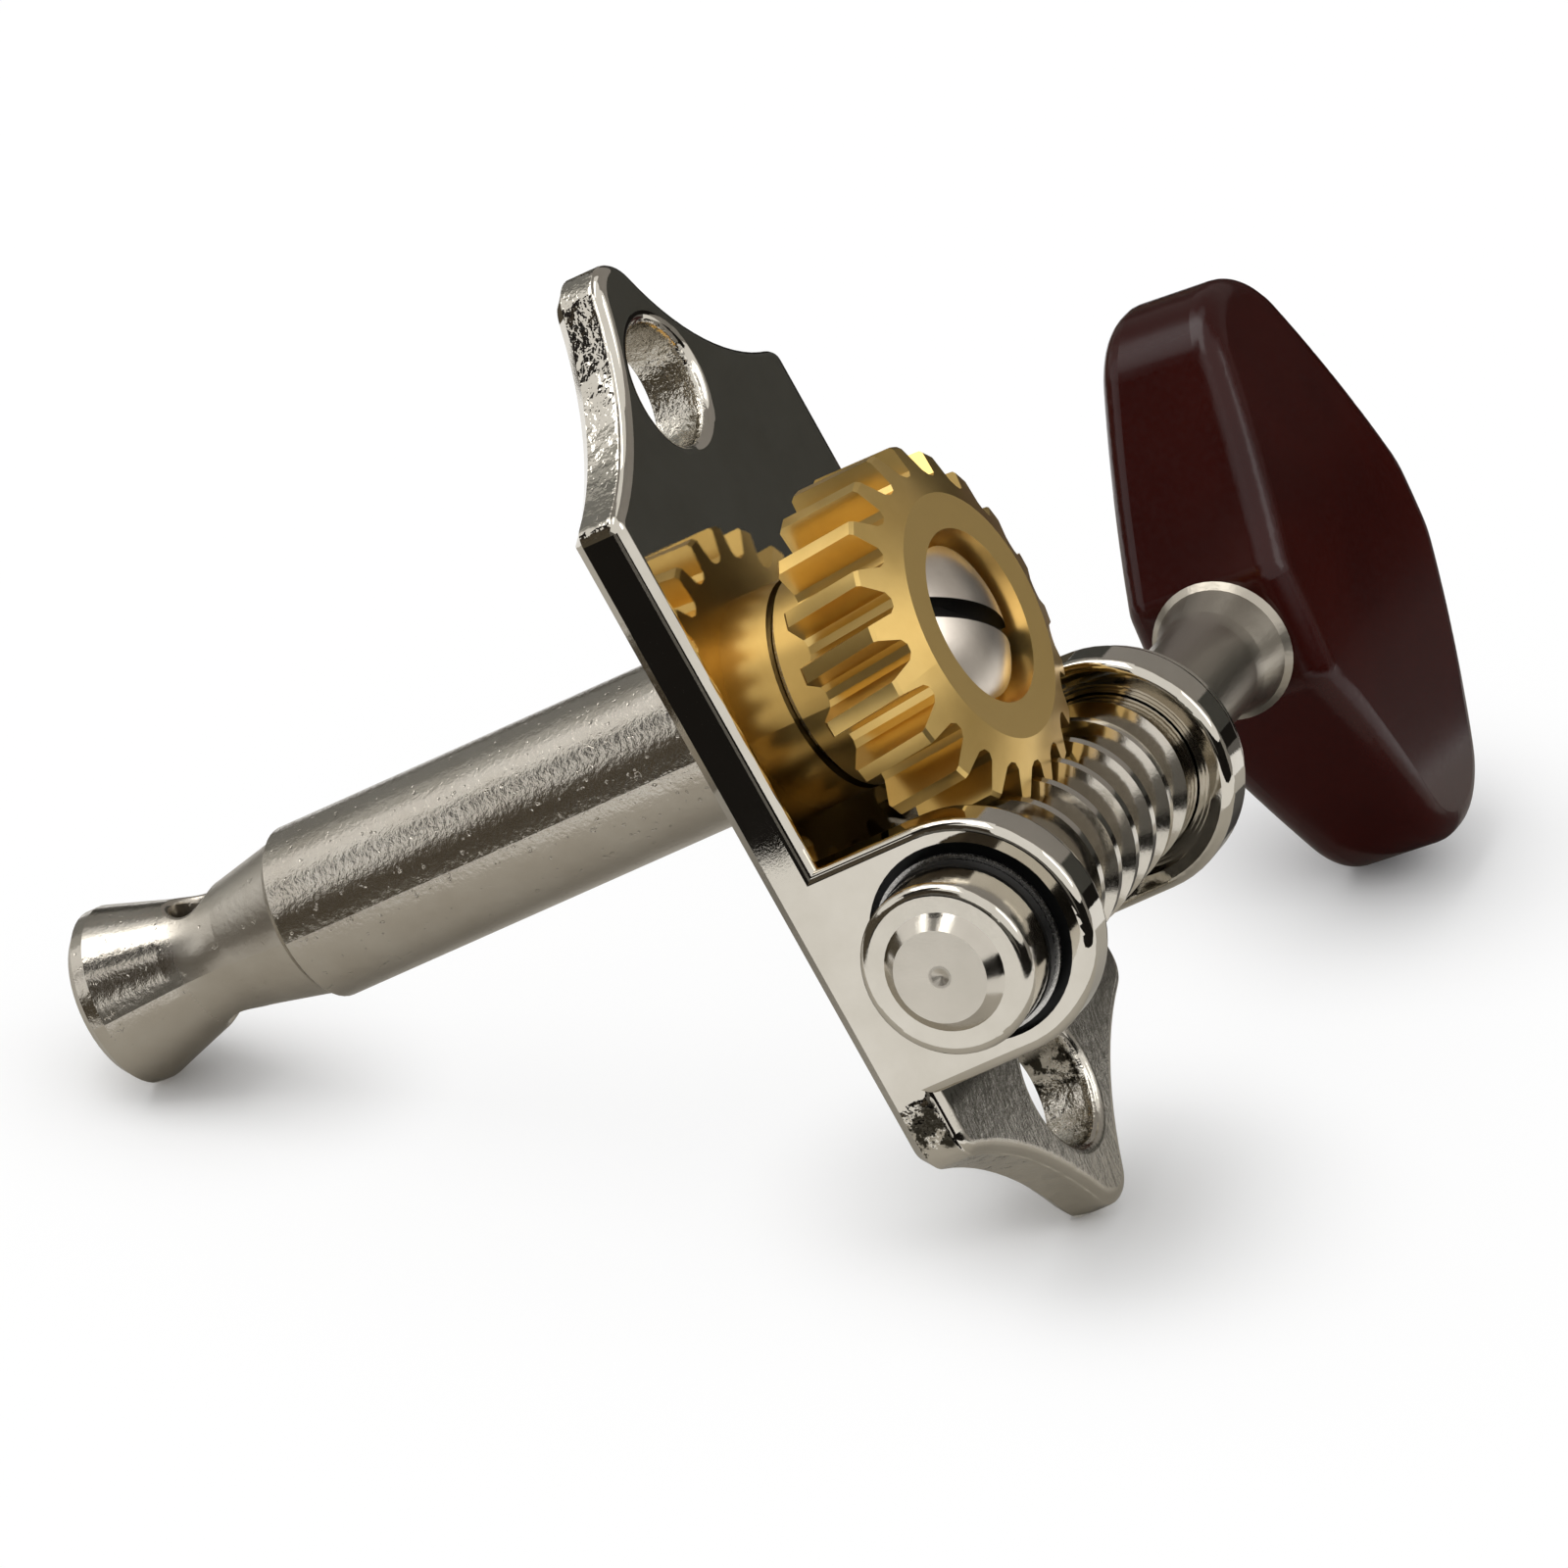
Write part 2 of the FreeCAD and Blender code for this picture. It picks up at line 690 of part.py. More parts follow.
def make_thrust_washer():
    inner = size.journal_diameter / 2 + size.running_clearance
    outer = size.thrust_washer_diameter / 2
    return turned("gear_thrust_washer", [[
        (inner, size.plate_thickness),
        (outer, size.plate_thickness),
        (outer, washer_top),
        (inner, washer_top),
    ]], "XZ_Plane", "V_Axis")


def make_worm_wheel():
    seat = size.gear_seat_diameter / 2
    hub = size.hub_diameter / 2
    tip = wheel_tip_radius
    ring = size.face_ring_diameter / 2
    bore = size.counterbore_diameter / 2
    bevel = size.wheel_edge_bevel
    body = turned("worm_wheel", [[
        (seat, hub_bottom),
        (hub, hub_bottom),
        (hub, wheel_back),
        (tip - bevel, wheel_back),
        (tip, wheel_back + bevel),
        (tip, wheel_front - bevel),
        (tip - bevel, wheel_front),
        (ring, wheel_face),
        (bore, wheel_face),
        (bore, counterbore_floor),
        (seat, counterbore_floor),
    ]], "XZ_Plane", "V_Axis")
    cut_tooth_gaps(body)
    key = new_sketch(body, "seat_key_outline", "XY_Plane", shift=hub_bottom)
    half = Part.Circle(FreeCAD.Vector(), FreeCAD.Vector(0, 0, 1), seat.number)
    lift = math.asin(size.gear_seat_flat.number / seat.number)
    bow = key.addGeometry(Part.ArcOfCircle(half, lift, math.pi - lift))
    chord = key.addGeometry(Part.LineSegment(key.getPoint(bow, 2), key.getPoint(bow, 1)))
    key.addConstraint(Sketcher.Constraint("Coincident", bow, 2, chord, 1))
    key.addConstraint(Sketcher.Constraint("Coincident", bow, 1, chord, 2))
    key.addConstraint(Sketcher.Constraint("Coincident", bow, 3, -1, 1))
    key.addConstraint(Sketcher.Constraint("Horizontal", chord))
    bind(key, Sketcher.Constraint("Radius", bow, seat.number), seat.formula)
    bind(key, Sketcher.Constraint("DistanceY", -1, 1, chord, 1, size.gear_seat_flat.number),
         size.gear_seat_flat.formula)
    pad(body, "seat_key", key, counterbore_floor - hub_bottom)
    return body


def gap_sketch(body, name, height, turn):
    """One gap between two teeth: straight flanks down to a rounded bottom."""
    sketch = new_sketch(body, name, "XY_Plane", shift=height, turn=turn)
    rise = wheel_tip_radius - wheel_root_radius
    tooth_pitch = wheel_tip_radius * (2 * math.pi) / size.tooth_count
    mouth = (tooth_pitch - size.wheel_tooth_land) / 2
    root = size.wheel_gap_root_width / 2
    lean = (mouth - root) / rise
    outside = wheel_tip_radius + size.overrun
    wide = mouth + lean * size.overrun
    round_start = root - size.wheel_gap_round
    polygon(sketch, [
        (wheel_root_radius, -round_start),
        (wheel_root_radius + size.wheel_gap_round, -(root + lean * size.wheel_gap_round)),
        (outside, -wide),
        (outside, wide),
        (wheel_root_radius + size.wheel_gap_round, root + lean * size.wheel_gap_round),
        (wheel_root_radius, round_start),
    ])
    return sketch


def cut_tooth_gaps(body):
    """Cut one slanting gap and repeat it round the wheel; the teeth lean as the worm's thread does."""
    before = body.Shape.Volume
    half_step = Size(180.0, "180") / size.tooth_count
    slope = worm_pitch / size.worm_pitch_radius / (2 * math.pi)
    turn_rate = slope / size.wheel_pitch_radius * (180 / math.pi)
    low = wheel_back - size.overrun
    high = wheel_front + size.overrun
    low_turn = half_step + turn_rate * (worm_height - low)
    high_turn = half_step - turn_rate * (high - worm_height)
    cut = body.newObject("PartDesign::SubtractiveLoft", "tooth_gap")
    bottom = gap_sketch(body, "tooth_gap_back", low, low_turn)
    top = gap_sketch(body, "tooth_gap_front", high, high_turn)
    cut.Profile = (bottom, [""])
    cut.Sections = [(top, [""])]
    cut.Ruled = True
    bottom.Visibility = False
    top.Visibility = False
    doc.recompute()
    must_shrink(body, before, "tooth_gap")
    pattern = body.newObject("PartDesign::PolarPattern", "tooth_gaps")
    pattern.Originals = [cut]
    pattern.Axis = (bottom, ["N_Axis"])
    pattern.Angle = 360
    pattern.setExpression("Occurrences", size.tooth_count.formula)
    body.Tip = pattern
    doc.recompute()


def make_gear_screw_washer():
    inner = size.tapped_hole_diameter / 2
    outer = size.screw_washer_diameter / 2
    return turned("gear_screw_washer", [[
        (inner, counterbore_floor),
        (outer, counterbore_floor),
        (outer, head_seat),
        (inner, head_seat),
    ]], "XZ_Plane", "V_Axis")


def domed_head(sketch, radius, rim_top, dome, floor, shank, tip):
    """Half outline of a screw: shank, flat seat, short rim and a dome that is one arc."""
    crown = rim_top + dome
    ball = (radius.number ** 2 + dome.number ** 2) / (2 * dome.number)
    corners = [(ZERO, crown), (ZERO, tip), (shank, tip), (shank, floor), (radius, floor), (radius, rim_top)]
    for start, end in zip(corners, corners[1:]):
        sketch.addGeometry(Part.LineSegment(vector(start), vector(end)))
    centre = (0.0, crown.number - ball)
    arc = arc_between(sketch, (radius.number, rim_top.number), (0.0, crown.number), centre)
    for index in range(len(corners) - 2):
        sketch.addConstraint(Sketcher.Constraint("Coincident", index, 2, index + 1, 1))
    for index, point in enumerate(corners[:-1]):
        pin(sketch, index, 1, point)
    pin(sketch, len(corners) - 2, 2, corners[-1])
    sketch.addConstraint(Sketcher.Constraint("Coincident", arc, 1, len(corners) - 2, 2))
    sketch.addConstraint(Sketcher.Constraint("Coincident", arc, 2, 0, 1))
    sketch.addConstraint(Sketcher.Constraint("PointOnObject", arc, 3, -2))


def make_gear_screw():
    body = new_body("gear_screw")
    sketch = new_sketch(body, "gear_screw_outline", "XZ_Plane")
    rim_top = head_seat + size.screw_head_rim
    domed_head(sketch, size.screw_head_diameter / 2, rim_top, size.screw_head_dome, head_seat,
               size.tapped_hole_diameter / 2 - size.thread_room, head_seat - size.screw_length)
    revolve(body, "gear_screw_turning", sketch, "V_Axis")
    crown = rim_top + size.screw_head_dome
    slot = new_sketch(body, "gear_screw_slot_outline", "XY_Plane", shift=crown, turn=SLOT_TURN)
    half = size.screw_slot_width / 2
    wide = size.screw_head_diameter
    polygon(slot, [(-wide, -half), (wide, -half), (wide, half), (-wide, half)])
    pocket(body, "gear_screw_slot", slot, size.screw_slot_depth)
    return body


# Parts on the worm's axis, modelled about X with +Y towards the post

def make_worm_shaft():
    journal = size.journal_shaft_diameter / 2
    neck = size.neck_diameter / 2
    flare = size.flare_diameter / 2
    tang = size.tang_diameter / 2
    bevel = size.worm_end_bevel
    body = turned("worm_shaft", [[
        (shaft_end - size.centre_mark_depth, ZERO),
        (shaft_end, size.centre_mark_radius),
        (shaft_end, journal - size.shaft_stub),
        (shaft_end - size.shaft_stub, journal),
        (worm_near_end, journal),
        (worm_near_end, worm_radius - bevel),
        (worm_near_end - bevel, worm_radius),
        (-(worm_far_end - bevel), worm_radius),
        (-worm_far_end, worm_radius - bevel),
        (-worm_far_end, neck),
        (-flare_start, neck),
        (-flare_end, flare - size.flare_round),
        (-(flare_end + size.flare_round), flare),
        (-knob_seat, flare - size.flare_round),
        (-knob_seat, tang),
        (-tang_end, tang),
        (-tang_end, ZERO),
    ]], "XY_Plane", "H_Axis")
    dress(body, "Fillet", "neck_flare", size.flare_sweep, is_flare_start)
    cut_thread(body)
    flats = new_sketch(body, "tang_flats_outline", "YZ_Plane", shift=-tang_end, turn=KNOB_TURN)
    wide = size.tang_diameter
    for side in (1, -1):
        low = size.tang_flat * side
        high = wide * side
        polygon(flats, [(low, -wide), (high, -wide), (high, wide), (low, wide)])
    pocket(body, "tang_flats", flats, tang_end - knob_seat, reversed_=True)
    tap = new_sketch(body, "knob_screw_hole_outline", "YZ_Plane", shift=-tang_end)
    circle(tap, (ZERO, ZERO), size.knob_screw_hole_diameter)
    pocket(body, "knob_screw_hole", tap, size.knob_screw_hole_length, reversed_=True)
    return on_worm_axis(body)


def is_flare_start(edge):
    return near(edge.BoundBox.XMin, -flare_start) and near(edge.BoundBox.XMax, -flare_start)


def cut_thread(body):
    """Cut the left-hand groove; a tooth of the wheel lies in it where it faces the post."""
    before = body.Shape.Volume
    groove = new_sketch(body, "thread_groove_outline", "XY_Plane")
    rise = worm_radius - worm_root_radius
    root = size.worm_groove_root_width / 2
    lean = (groove_mouth - root) / rise
    start = worm_pitch * THREAD_TURNS
    wide = groove_mouth + lean * size.overrun
    top = worm_radius + size.overrun
    polygon(groove, [
        (start - root, worm_root_radius),
        (start + root, worm_root_radius),
        (start + wide, top),
        (start - wide, top),
    ])
    feature = body.newObject("PartDesign::SubtractiveHelix", "thread_groove")
    feature.Profile = (groove, [""])
    feature.ReferenceAxis = (groove, ["H_Axis"])
    feature.Mode = "pitch-height-angle"
    bound(feature, Pitch=worm_pitch, Height=start + thread_far_end)
    feature.LeftHanded = True
    feature.Reversed = True
    groove.Visibility = False
    doc.recompute()
    must_shrink(body, before, "thread_groove")


def ring_on_worm_axis(label, points):
    return on_worm_axis(turned(label, [points], "XY_Plane", "H_Axis"))


def make_end_cap():
    journal = size.journal_shaft_diameter / 2
    outer = size.cap_diameter / 2
    body = ring_on_worm_axis("end_cap", [
        (cap_back, journal),
        (cap_back, outer - size.cap_back_bevel),
        (cap_back + size.cap_back_bevel, outer),
        (cap_front, outer),
        (cap_front, journal),
    ])
    dress(body, "Fillet", "cap_edge", size.cap_edge_round, is_cap_edge)
    return body


def is_cap_edge(edge):
    box = edge.BoundBox
    flat = near(box.XMin, cap_front) and near(box.XMax, cap_front)
    return flat and near(box.YLength, size.cap_diameter)


def make_front_bushing():
    """A stepped sleeve: its rim lies deep in the near ear and its seat stands proud for the washer."""
    inner = size.journal_shaft_diameter / 2 + size.running_clearance
    outer = ear_bore_radius
    seat = size.bushing_seat_diameter / 2
    rim = half_plate - size.bushing_rim_depth
    return ring_on_worm_axis("front_bushing", [
        (ear_back, inner), (ear_back, outer), (rim, outer),
        (rim, seat), (bushing_face, seat), (bushing_face, inner),
    ])


def make_tension_washer():
    inner = size.journal_shaft_diameter / 2 + size.running_clearance
    outer = size.tension_washer_diameter / 2
    return ring_on_worm_axis("tension_washer", [
        (bushing_face, inner), (bushing_face, outer),
        (tension_washer_front, outer), (tension_washer_front, inner),
    ])


def make_friction_washer():
    inner = size.journal_shaft_diameter / 2
    outer = size.friction_washer_diameter / 2
    return ring_on_worm_axis("friction_washer", [
        (friction_washer_back, inner), (friction_washer_back, outer),
        (cap_back, outer), (cap_back, inner),
    ])


def make_rear_bushing():
    """A cup pressed in the far ear, with rings turned in its lip.

    The end of the worm turns in it and the neck leaves through it.
    """
    outer = ear_bore_radius
    flange = outer + size.cup_flange_width
    pocket_radius = worm_radius + size.cup_clearance
    hole = size.neck_diameter / 2 + size.cup_clearance
    floor = -(worm_far_end + size.cup_clearance)
    back = -(half_plate + size.cup_flange_thickness)
    ring_floor = -(cup_face + size.cup_ring_depth)
    step = (outer - pocket_radius) / (size.cup_ring_count * 2 + 1)
    lip = []
    for index in range(int(size.cup_ring_count.number)):
        ridge = pocket_radius + step * (index * 2)
        lip += [(-cup_face, ridge), (-cup_face, ridge + step),
                (ring_floor, ridge + step), (ring_floor, ridge + step * 2)]
    return ring_on_worm_axis("rear_bushing", lip + [
        (-cup_face, outer - step),
        (-cup_face, outer),
        (-half_plate, outer),
        (-half_plate, flange),
        (back, flange),
        (back, hole),
        (floor, hole),
        (floor, pocket_radius),
    ])


# Knob, its washer and its screw

def knob_plan():
    """The lozenge seen along Z: a flat on the shaft side, two blunt ends and a narrow outer flat."""
    seat = size.knob_seat_flat / 2
    outer = size.knob_outer_flat / 2
    end = size.knob_length / 2
    return [
        (-knob_seat, -seat), (-knob_seat, seat), (-knob_near_corner, end), (-knob_far_corner, end),
        (-knob_outer, outer), (-knob_outer, -outer), (-knob_far_corner, -end), (-knob_near_corner, -end),
    ]


def make_knob():
    body = new_body("knob")
    plan = new_sketch(body, "knob_plan", "XY_Plane")
    polygon(plan, knob_plan())
    pad(body, "knob_pad", plan, size.knob_thickness, midplane=True)
    for name, station, radius in (("knob_seat_rounds", knob_seat, size.knob_seat_round),
                                  ("knob_inner_rounds", knob_near_corner, size.knob_inner_round),
                                  ("knob_end_rounds", knob_far_corner, size.knob_end_round),
                                  ("knob_outer_rounds", knob_outer, size.knob_outer_round)):
        dress(body, "Fillet", name, radius, upright_at(-station))
    crown = new_sketch(body, "knob_crown_outline", "YZ_Plane", shift=-knob_outer)
    for side in (1, -1):
        crown_waste(crown, side)
    pocket(body, "knob_crown", crown, knob_outer, reversed_=True)
    tang = new_sketch(body, "knob_bore_outline", "YZ_Plane", shift=-knob_outer)
    tang_bore(tang)
    pocket(body, "knob_bore", tang, knob_outer, reversed_=True)
    head = new_sketch(body, "knob_counterbore_outline", "YZ_Plane", shift=-knob_outer)
    circle(head, (ZERO, ZERO), size.knob_counterbore_diameter)
    pocket(body, "knob_counterbore", head, knob_outer - knob_counterbore_floor, reversed_=True)
    dress(body, "Fillet", "knob_rounds", size.knob_edge_round, is_knob_outside)
    return on_worm_axis(body, KNOB_TURN)


def upright_at(station):
    """A test for the edges along Z at a station of the knob's own X."""
    def chosen(edge):
        box = edge.BoundBox
        return near(box.XMin, station) and near(box.XMax, station) and box.YLength < TOLERANCE
    return chosen


def crown_waste(sketch, side):
    """What lies outside the crown of one broad face: one arc that is highest over the worm's axis."""
    end = size.knob_length / 2 + size.overrun
    full = size.knob_thickness / 2
    thin = size.knob_end_thickness / 2
    drop = full - thin
    reach = size.knob_length / 2
    radius = (reach * reach + drop * drop) / (drop * 2)
    fall = radius - square_root(radius * radius - end * end)
    low = (full - fall) * side
    high = (full + size.overrun) * side
    corners = [(end, low), (end, high), (-end, high), (-end, low)]
    first = sketch.GeometryCount
    for start, stop in zip(corners, corners[1:]):
        sketch.addGeometry(Part.LineSegment(vector(start), vector(stop)))
    centre = (full - radius) * side
    arc = arc_between(sketch, (end.number, low.number), (-end.number, low.number), (0.0, centre.number))
    for index in range(2):
        sketch.addConstraint(Sketcher.Constraint("Coincident", first + index, 2, first + index + 1, 1))
    for index, point in enumerate(corners[:-1]):
        pin(sketch, first + index, 1, point)
    pin(sketch, first + 2, 2, corners[-1])
    sketch.addConstraint(Sketcher.Constraint(
        "Coincident", arc, end_at(sketch, arc, (end.number, low.number)), first, 1))
    sketch.addConstraint(Sketcher.Constraint(
        "Coincident", arc, end_at(sketch, arc, (-end.number, low.number)), first + 2, 2))
    bind(sketch, Sketcher.Constraint("Radius", arc, radius.number), radius.formula)


def is_knob_outside(edge):
    """Every edge but those of the bore and of the screw's recess."""
    box = edge.BoundBox
    reach = max(abs(box.YMin), abs(box.YMax), abs(box.ZMin), abs(box.ZMax))
    return reach > size.knob_counterbore_diameter.number / 2 + TOLERANCE


def tang_bore(sketch):
    """A round with two flats, the same as the end of the shaft."""
    radius = size.tang_diameter / 2
    flat = size.tang_flat
    whole = Part.Circle(FreeCAD.Vector(), FreeCAD.Vector(0, 0, 1), radius.number)
    lean = math.acos(flat.number / radius.number)
    upper = sketch.addGeometry(Part.ArcOfCircle(whole, lean, math.pi - lean))
    left = sketch.addGeometry(Part.LineSegment(sketch.getPoint(upper, 2),
                                               FreeCAD.Vector(-flat.number, -radius.number * math.sin(lean), 0)))
    lower = sketch.addGeometry(Part.ArcOfCircle(whole, math.pi + lean, 2 * math.pi - lean))
    right = sketch.addGeometry(Part.LineSegment(sketch.getPoint(lower, 2), sketch.getPoint(upper, 1)))
    joints = ((upper, 2, left, 1), (left, 2, lower, 1), (lower, 2, right, 1), (right, 2, upper, 1))
    for joint in joints:
        sketch.addConstraint(Sketcher.Constraint("Coincident", *joint))
    for arc in (upper, lower):
        sketch.addConstraint(Sketcher.Constraint("Coincident", arc, 3, -1, 1))
        bind(sketch, Sketcher.Constraint("Radius", arc, radius.number), radius.formula)
    bind(sketch, Sketcher.Constraint("DistanceX", -1, 1, upper, 1, flat.number), flat.formula)
    left_flat = -flat
    bind(sketch, Sketcher.Constraint("DistanceX", -1, 1, upper, 2, left_flat.number), left_flat.formula)
    sketch.addConstraint(Sketcher.Constraint("Vertical", left))
    sketch.addConstraint(Sketcher.Constraint("Vertical", right))


def make_knob_washer():
    inner = size.knob_screw_hole_diameter / 2
    outer = size.knob_washer_diameter / 2
    floor = -knob_counterbore_floor
    return ring_on_worm_axis("knob_washer", [
        (floor, inner), (floor, outer), (-knob_washer_front, outer), (-knob_washer_front, inner),
    ])


def make_knob_screw():
    head = size.knob_screw_head_diameter / 2
    shank = size.knob_screw_hole_diameter / 2 - size.thread_room
    seat = -knob_washer_front
    top = -knob_head_top
    body = turned("knob_screw", [[
        (seat + size.knob_screw_length, ZERO),
        (seat + size.knob_screw_length, shank),
        (seat, shank),
        (seat, head),
        (top + size.knob_screw_head_round, head),
        (top, head - size.knob_screw_head_round),
        (top, ZERO),
    ]], "XY_Plane", "H_Axis")
    slot = new_sketch(body, "knob_screw_slot_outline", "YZ_Plane", shift=top)
    half = size.knob_screw_slot_width / 2
    wide = size.knob_screw_head_diameter
    polygon(slot, [(-wide, -half), (wide, -half), (wide, half), (-wide, half)])
    pocket(body, "knob_screw_slot", slot, size.knob_screw_slot_depth, reversed_=True)
    return on_worm_axis(body)


bodies = [
    make_base_plate(),
    make_string_post(),
    make_thrust_washer(),
    make_worm_wheel(),
    make_gear_screw_washer(),
    make_gear_screw(),
    make_worm_shaft(),
    make_front_bushing(),
    make_tension_washer(),
    make_friction_washer(),
    make_end_cap(),
    make_rear_bushing(),
    make_knob(),
    make_knob_washer(),
    make_knob_screw(),
]
doc.recompute()

for item in doc.Objects:
    if "Invalid" in item.State or "Error" in item.State:
        raise RuntimeError("%s did not build" % item.Name)

for body in bodies:
    shape = body.Shape
    if shape.isNull() or not shape.isValid() or not shape.Solids:
        raise RuntimeError("%s has no valid solid" % body.Label)
    shape.exportStep(os.path.join(OUT, body.Label + ".step"))
    box = shape.BoundBox
    print("%-20s solids %d faces %3d volume %9.3f  x %.2f %.2f  y %.2f %.2f  z %.2f %.2f" % (
        body.Label, len(shape.Solids), len(shape.Faces), shape.Volume,
        box.XMin, box.XMax, box.YMin, box.YMax, box.ZMin, box.ZMax))
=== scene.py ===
import math

import bpy
from mathutils import Matrix, Vector

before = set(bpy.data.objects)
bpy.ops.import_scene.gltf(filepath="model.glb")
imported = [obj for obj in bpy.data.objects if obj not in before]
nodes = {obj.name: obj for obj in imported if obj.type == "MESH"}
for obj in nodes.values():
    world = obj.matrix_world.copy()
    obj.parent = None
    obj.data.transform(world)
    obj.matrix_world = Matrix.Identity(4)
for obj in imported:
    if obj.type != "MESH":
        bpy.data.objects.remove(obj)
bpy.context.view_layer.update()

scene = bpy.context.scene
MM = 0.001

# Camera, solved from the edges of the plate, the gear and the post in the photograph
CAMERA_PLACE = (0.76959, -0.15460, 0.39833)
IMAGE_RIGHT = Vector((-0.3250, 0.4807, 0.8144))
IMAGE_DOWN = Vector((0.3632, 0.8586, -0.3618))
FORWARD = Vector((-0.8732, 0.1782, -0.4537))
FOCAL_PIXELS = 27693.0
PHOTO_PIXELS = 1600.0
SENSOR_MM = 36.0
CLIP_NEAR = 0.05
CLIP_FAR = 20.0

# The surface that the object lies on touches the post's end, the plate's lower tip and a knob corner
FLOOR_POINTS = (
    Vector((-0.38, 3.03, -26.65)) * MM,
    Vector((-0.19, 19.59, 0.45)) * MM,
    Vector((-25.81, 17.94, 3.16)) * MM,
)


def new_material(name):
    material = bpy.data.materials.new(name)
    material.use_nodes = True
    tree = material.node_tree
    tree.nodes.clear()
    return material, tree


def node(tree, kind, values=None, **settings):
    made = tree.nodes.new(kind)
    for key, value in settings.items():
        setattr(made, key, value)
    for key, value in (values or {}).items():
        made.inputs[key].default_value = value
    return made


def wire(tree, *links):
    for source, output, target, socket in links:
        tree.links.new(source.outputs[output], target.inputs[socket])


def ramp(tree, stops):
    made = tree.nodes.new("ShaderNodeValToRGB")
    while len(made.color_ramp.elements) < len(stops):
        made.color_ramp.elements.new(0.5)
    for element, (place, value) in zip(made.color_ramp.elements, stops):
        element.position = place
        element.color = (value, value, value, 1) if isinstance(value, float) else (*value, 1)
    return made


# Texture scales are in cells to the metre
CLOUD_SCALE = 420.0
PLASTIC_CLOUD_SCALE = 160.0
DUST_SCALE = 5200.0
NOISE_LOW = 0.3
NOISE_HIGH = 0.7
FINE_RELIEF = 0.02 * MM


def metal(name, colour, dark, roughness, grain, bump, fine=9000.0):
    """Plated or machined metal: cloudy colour, a fine grain in the roughness and a very low relief."""
    material, tree = new_material(name)
    place = node(tree, "ShaderNodeTexCoord")
    cloud = node(tree, "ShaderNodeTexNoise", {"Scale": CLOUD_SCALE, "Detail": 4.0, "Roughness": 0.6})
    streak = node(tree, "ShaderNodeTexNoise", {"Scale": fine, "Detail": 3.0, "Roughness": 0.7})
    tint = ramp(tree, ((NOISE_LOW, dark), (NOISE_HIGH, colour)))
    rough = node(tree, "ShaderNodeMapRange", {"From Min": NOISE_LOW, "From Max": NOISE_HIGH,
                                             "To Min": roughness - grain, "To Max": roughness + grain})
    relief = node(tree, "ShaderNodeBump", {"Strength": bump, "Distance": FINE_RELIEF})
    shader = node(tree, "ShaderNodeBsdfPrincipled", {"Metallic": 1.0})
    output = node(tree, "ShaderNodeOutputMaterial")
    wire(tree,
         (place, "Object", cloud, "Vector"),
         (place, "Object", streak, "Vector"),
         (cloud, "Fac", tint, "Fac"),
         (tint, "Color", shader, "Base Color"),
         (streak, "Fac", rough, "Value"),
         (rough, "Result", shader, "Roughness"),
         (streak, "Fac", relief, "Height"),
         (relief, "Normal", shader, "Normal"),
         (shader, "BSDF", output, "Surface"))
    return material


def plastic(name, colour, dark, roughness, bump, shine):
    """Moulded plastic: a cloudy colour and a trace of dust."""
    material, tree = new_material(name)
    place = node(tree, "ShaderNodeTexCoord")
    cloud = node(tree, "ShaderNodeTexNoise", {"Scale": PLASTIC_CLOUD_SCALE, "Detail": 3.0, "Roughness": 0.55})
    dust = node(tree, "ShaderNodeTexNoise", {"Scale": DUST_SCALE, "Detail": 3.0, "Roughness": 0.7})
    tint = ramp(tree, ((0.35, dark), (0.65, colour)))
    rough = node(tree, "ShaderNodeMapRange", {"From Min": NOISE_LOW, "From Max": NOISE_HIGH,
                                             "To Min": roughness * 0.8, "To Max": roughness * 1.2})
    relief = node(tree, "ShaderNodeBump", {"Strength": bump, "Distance": FINE_RELIEF})
    shader = node(tree, "ShaderNodeBsdfPrincipled", {"Specular IOR Level": shine})
    output = node(tree, "ShaderNodeOutputMaterial")
    wire(tree,
         (place, "Object", cloud, "Vector"),
         (place, "Object", dust, "Vector"),
         (cloud, "Fac", tint, "Fac"),
         (tint, "Color", shader, "Base Color"),
         (dust, "Fac", rough, "Value"),
         (rough, "Result", shader, "Roughness"),
         (dust, "Fac", relief, "Height"),
         (relief, "Normal", shader, "Normal"),
         (shader, "BSDF", output, "Surface"))
    return material


# Indexes of a Mix node's two inputs and its output, for each type of data
MIX_SOCKETS = {"FLOAT": (2, 3, 0), "VECTOR": (4, 5, 1), "RGBA": (6, 7, 2)}


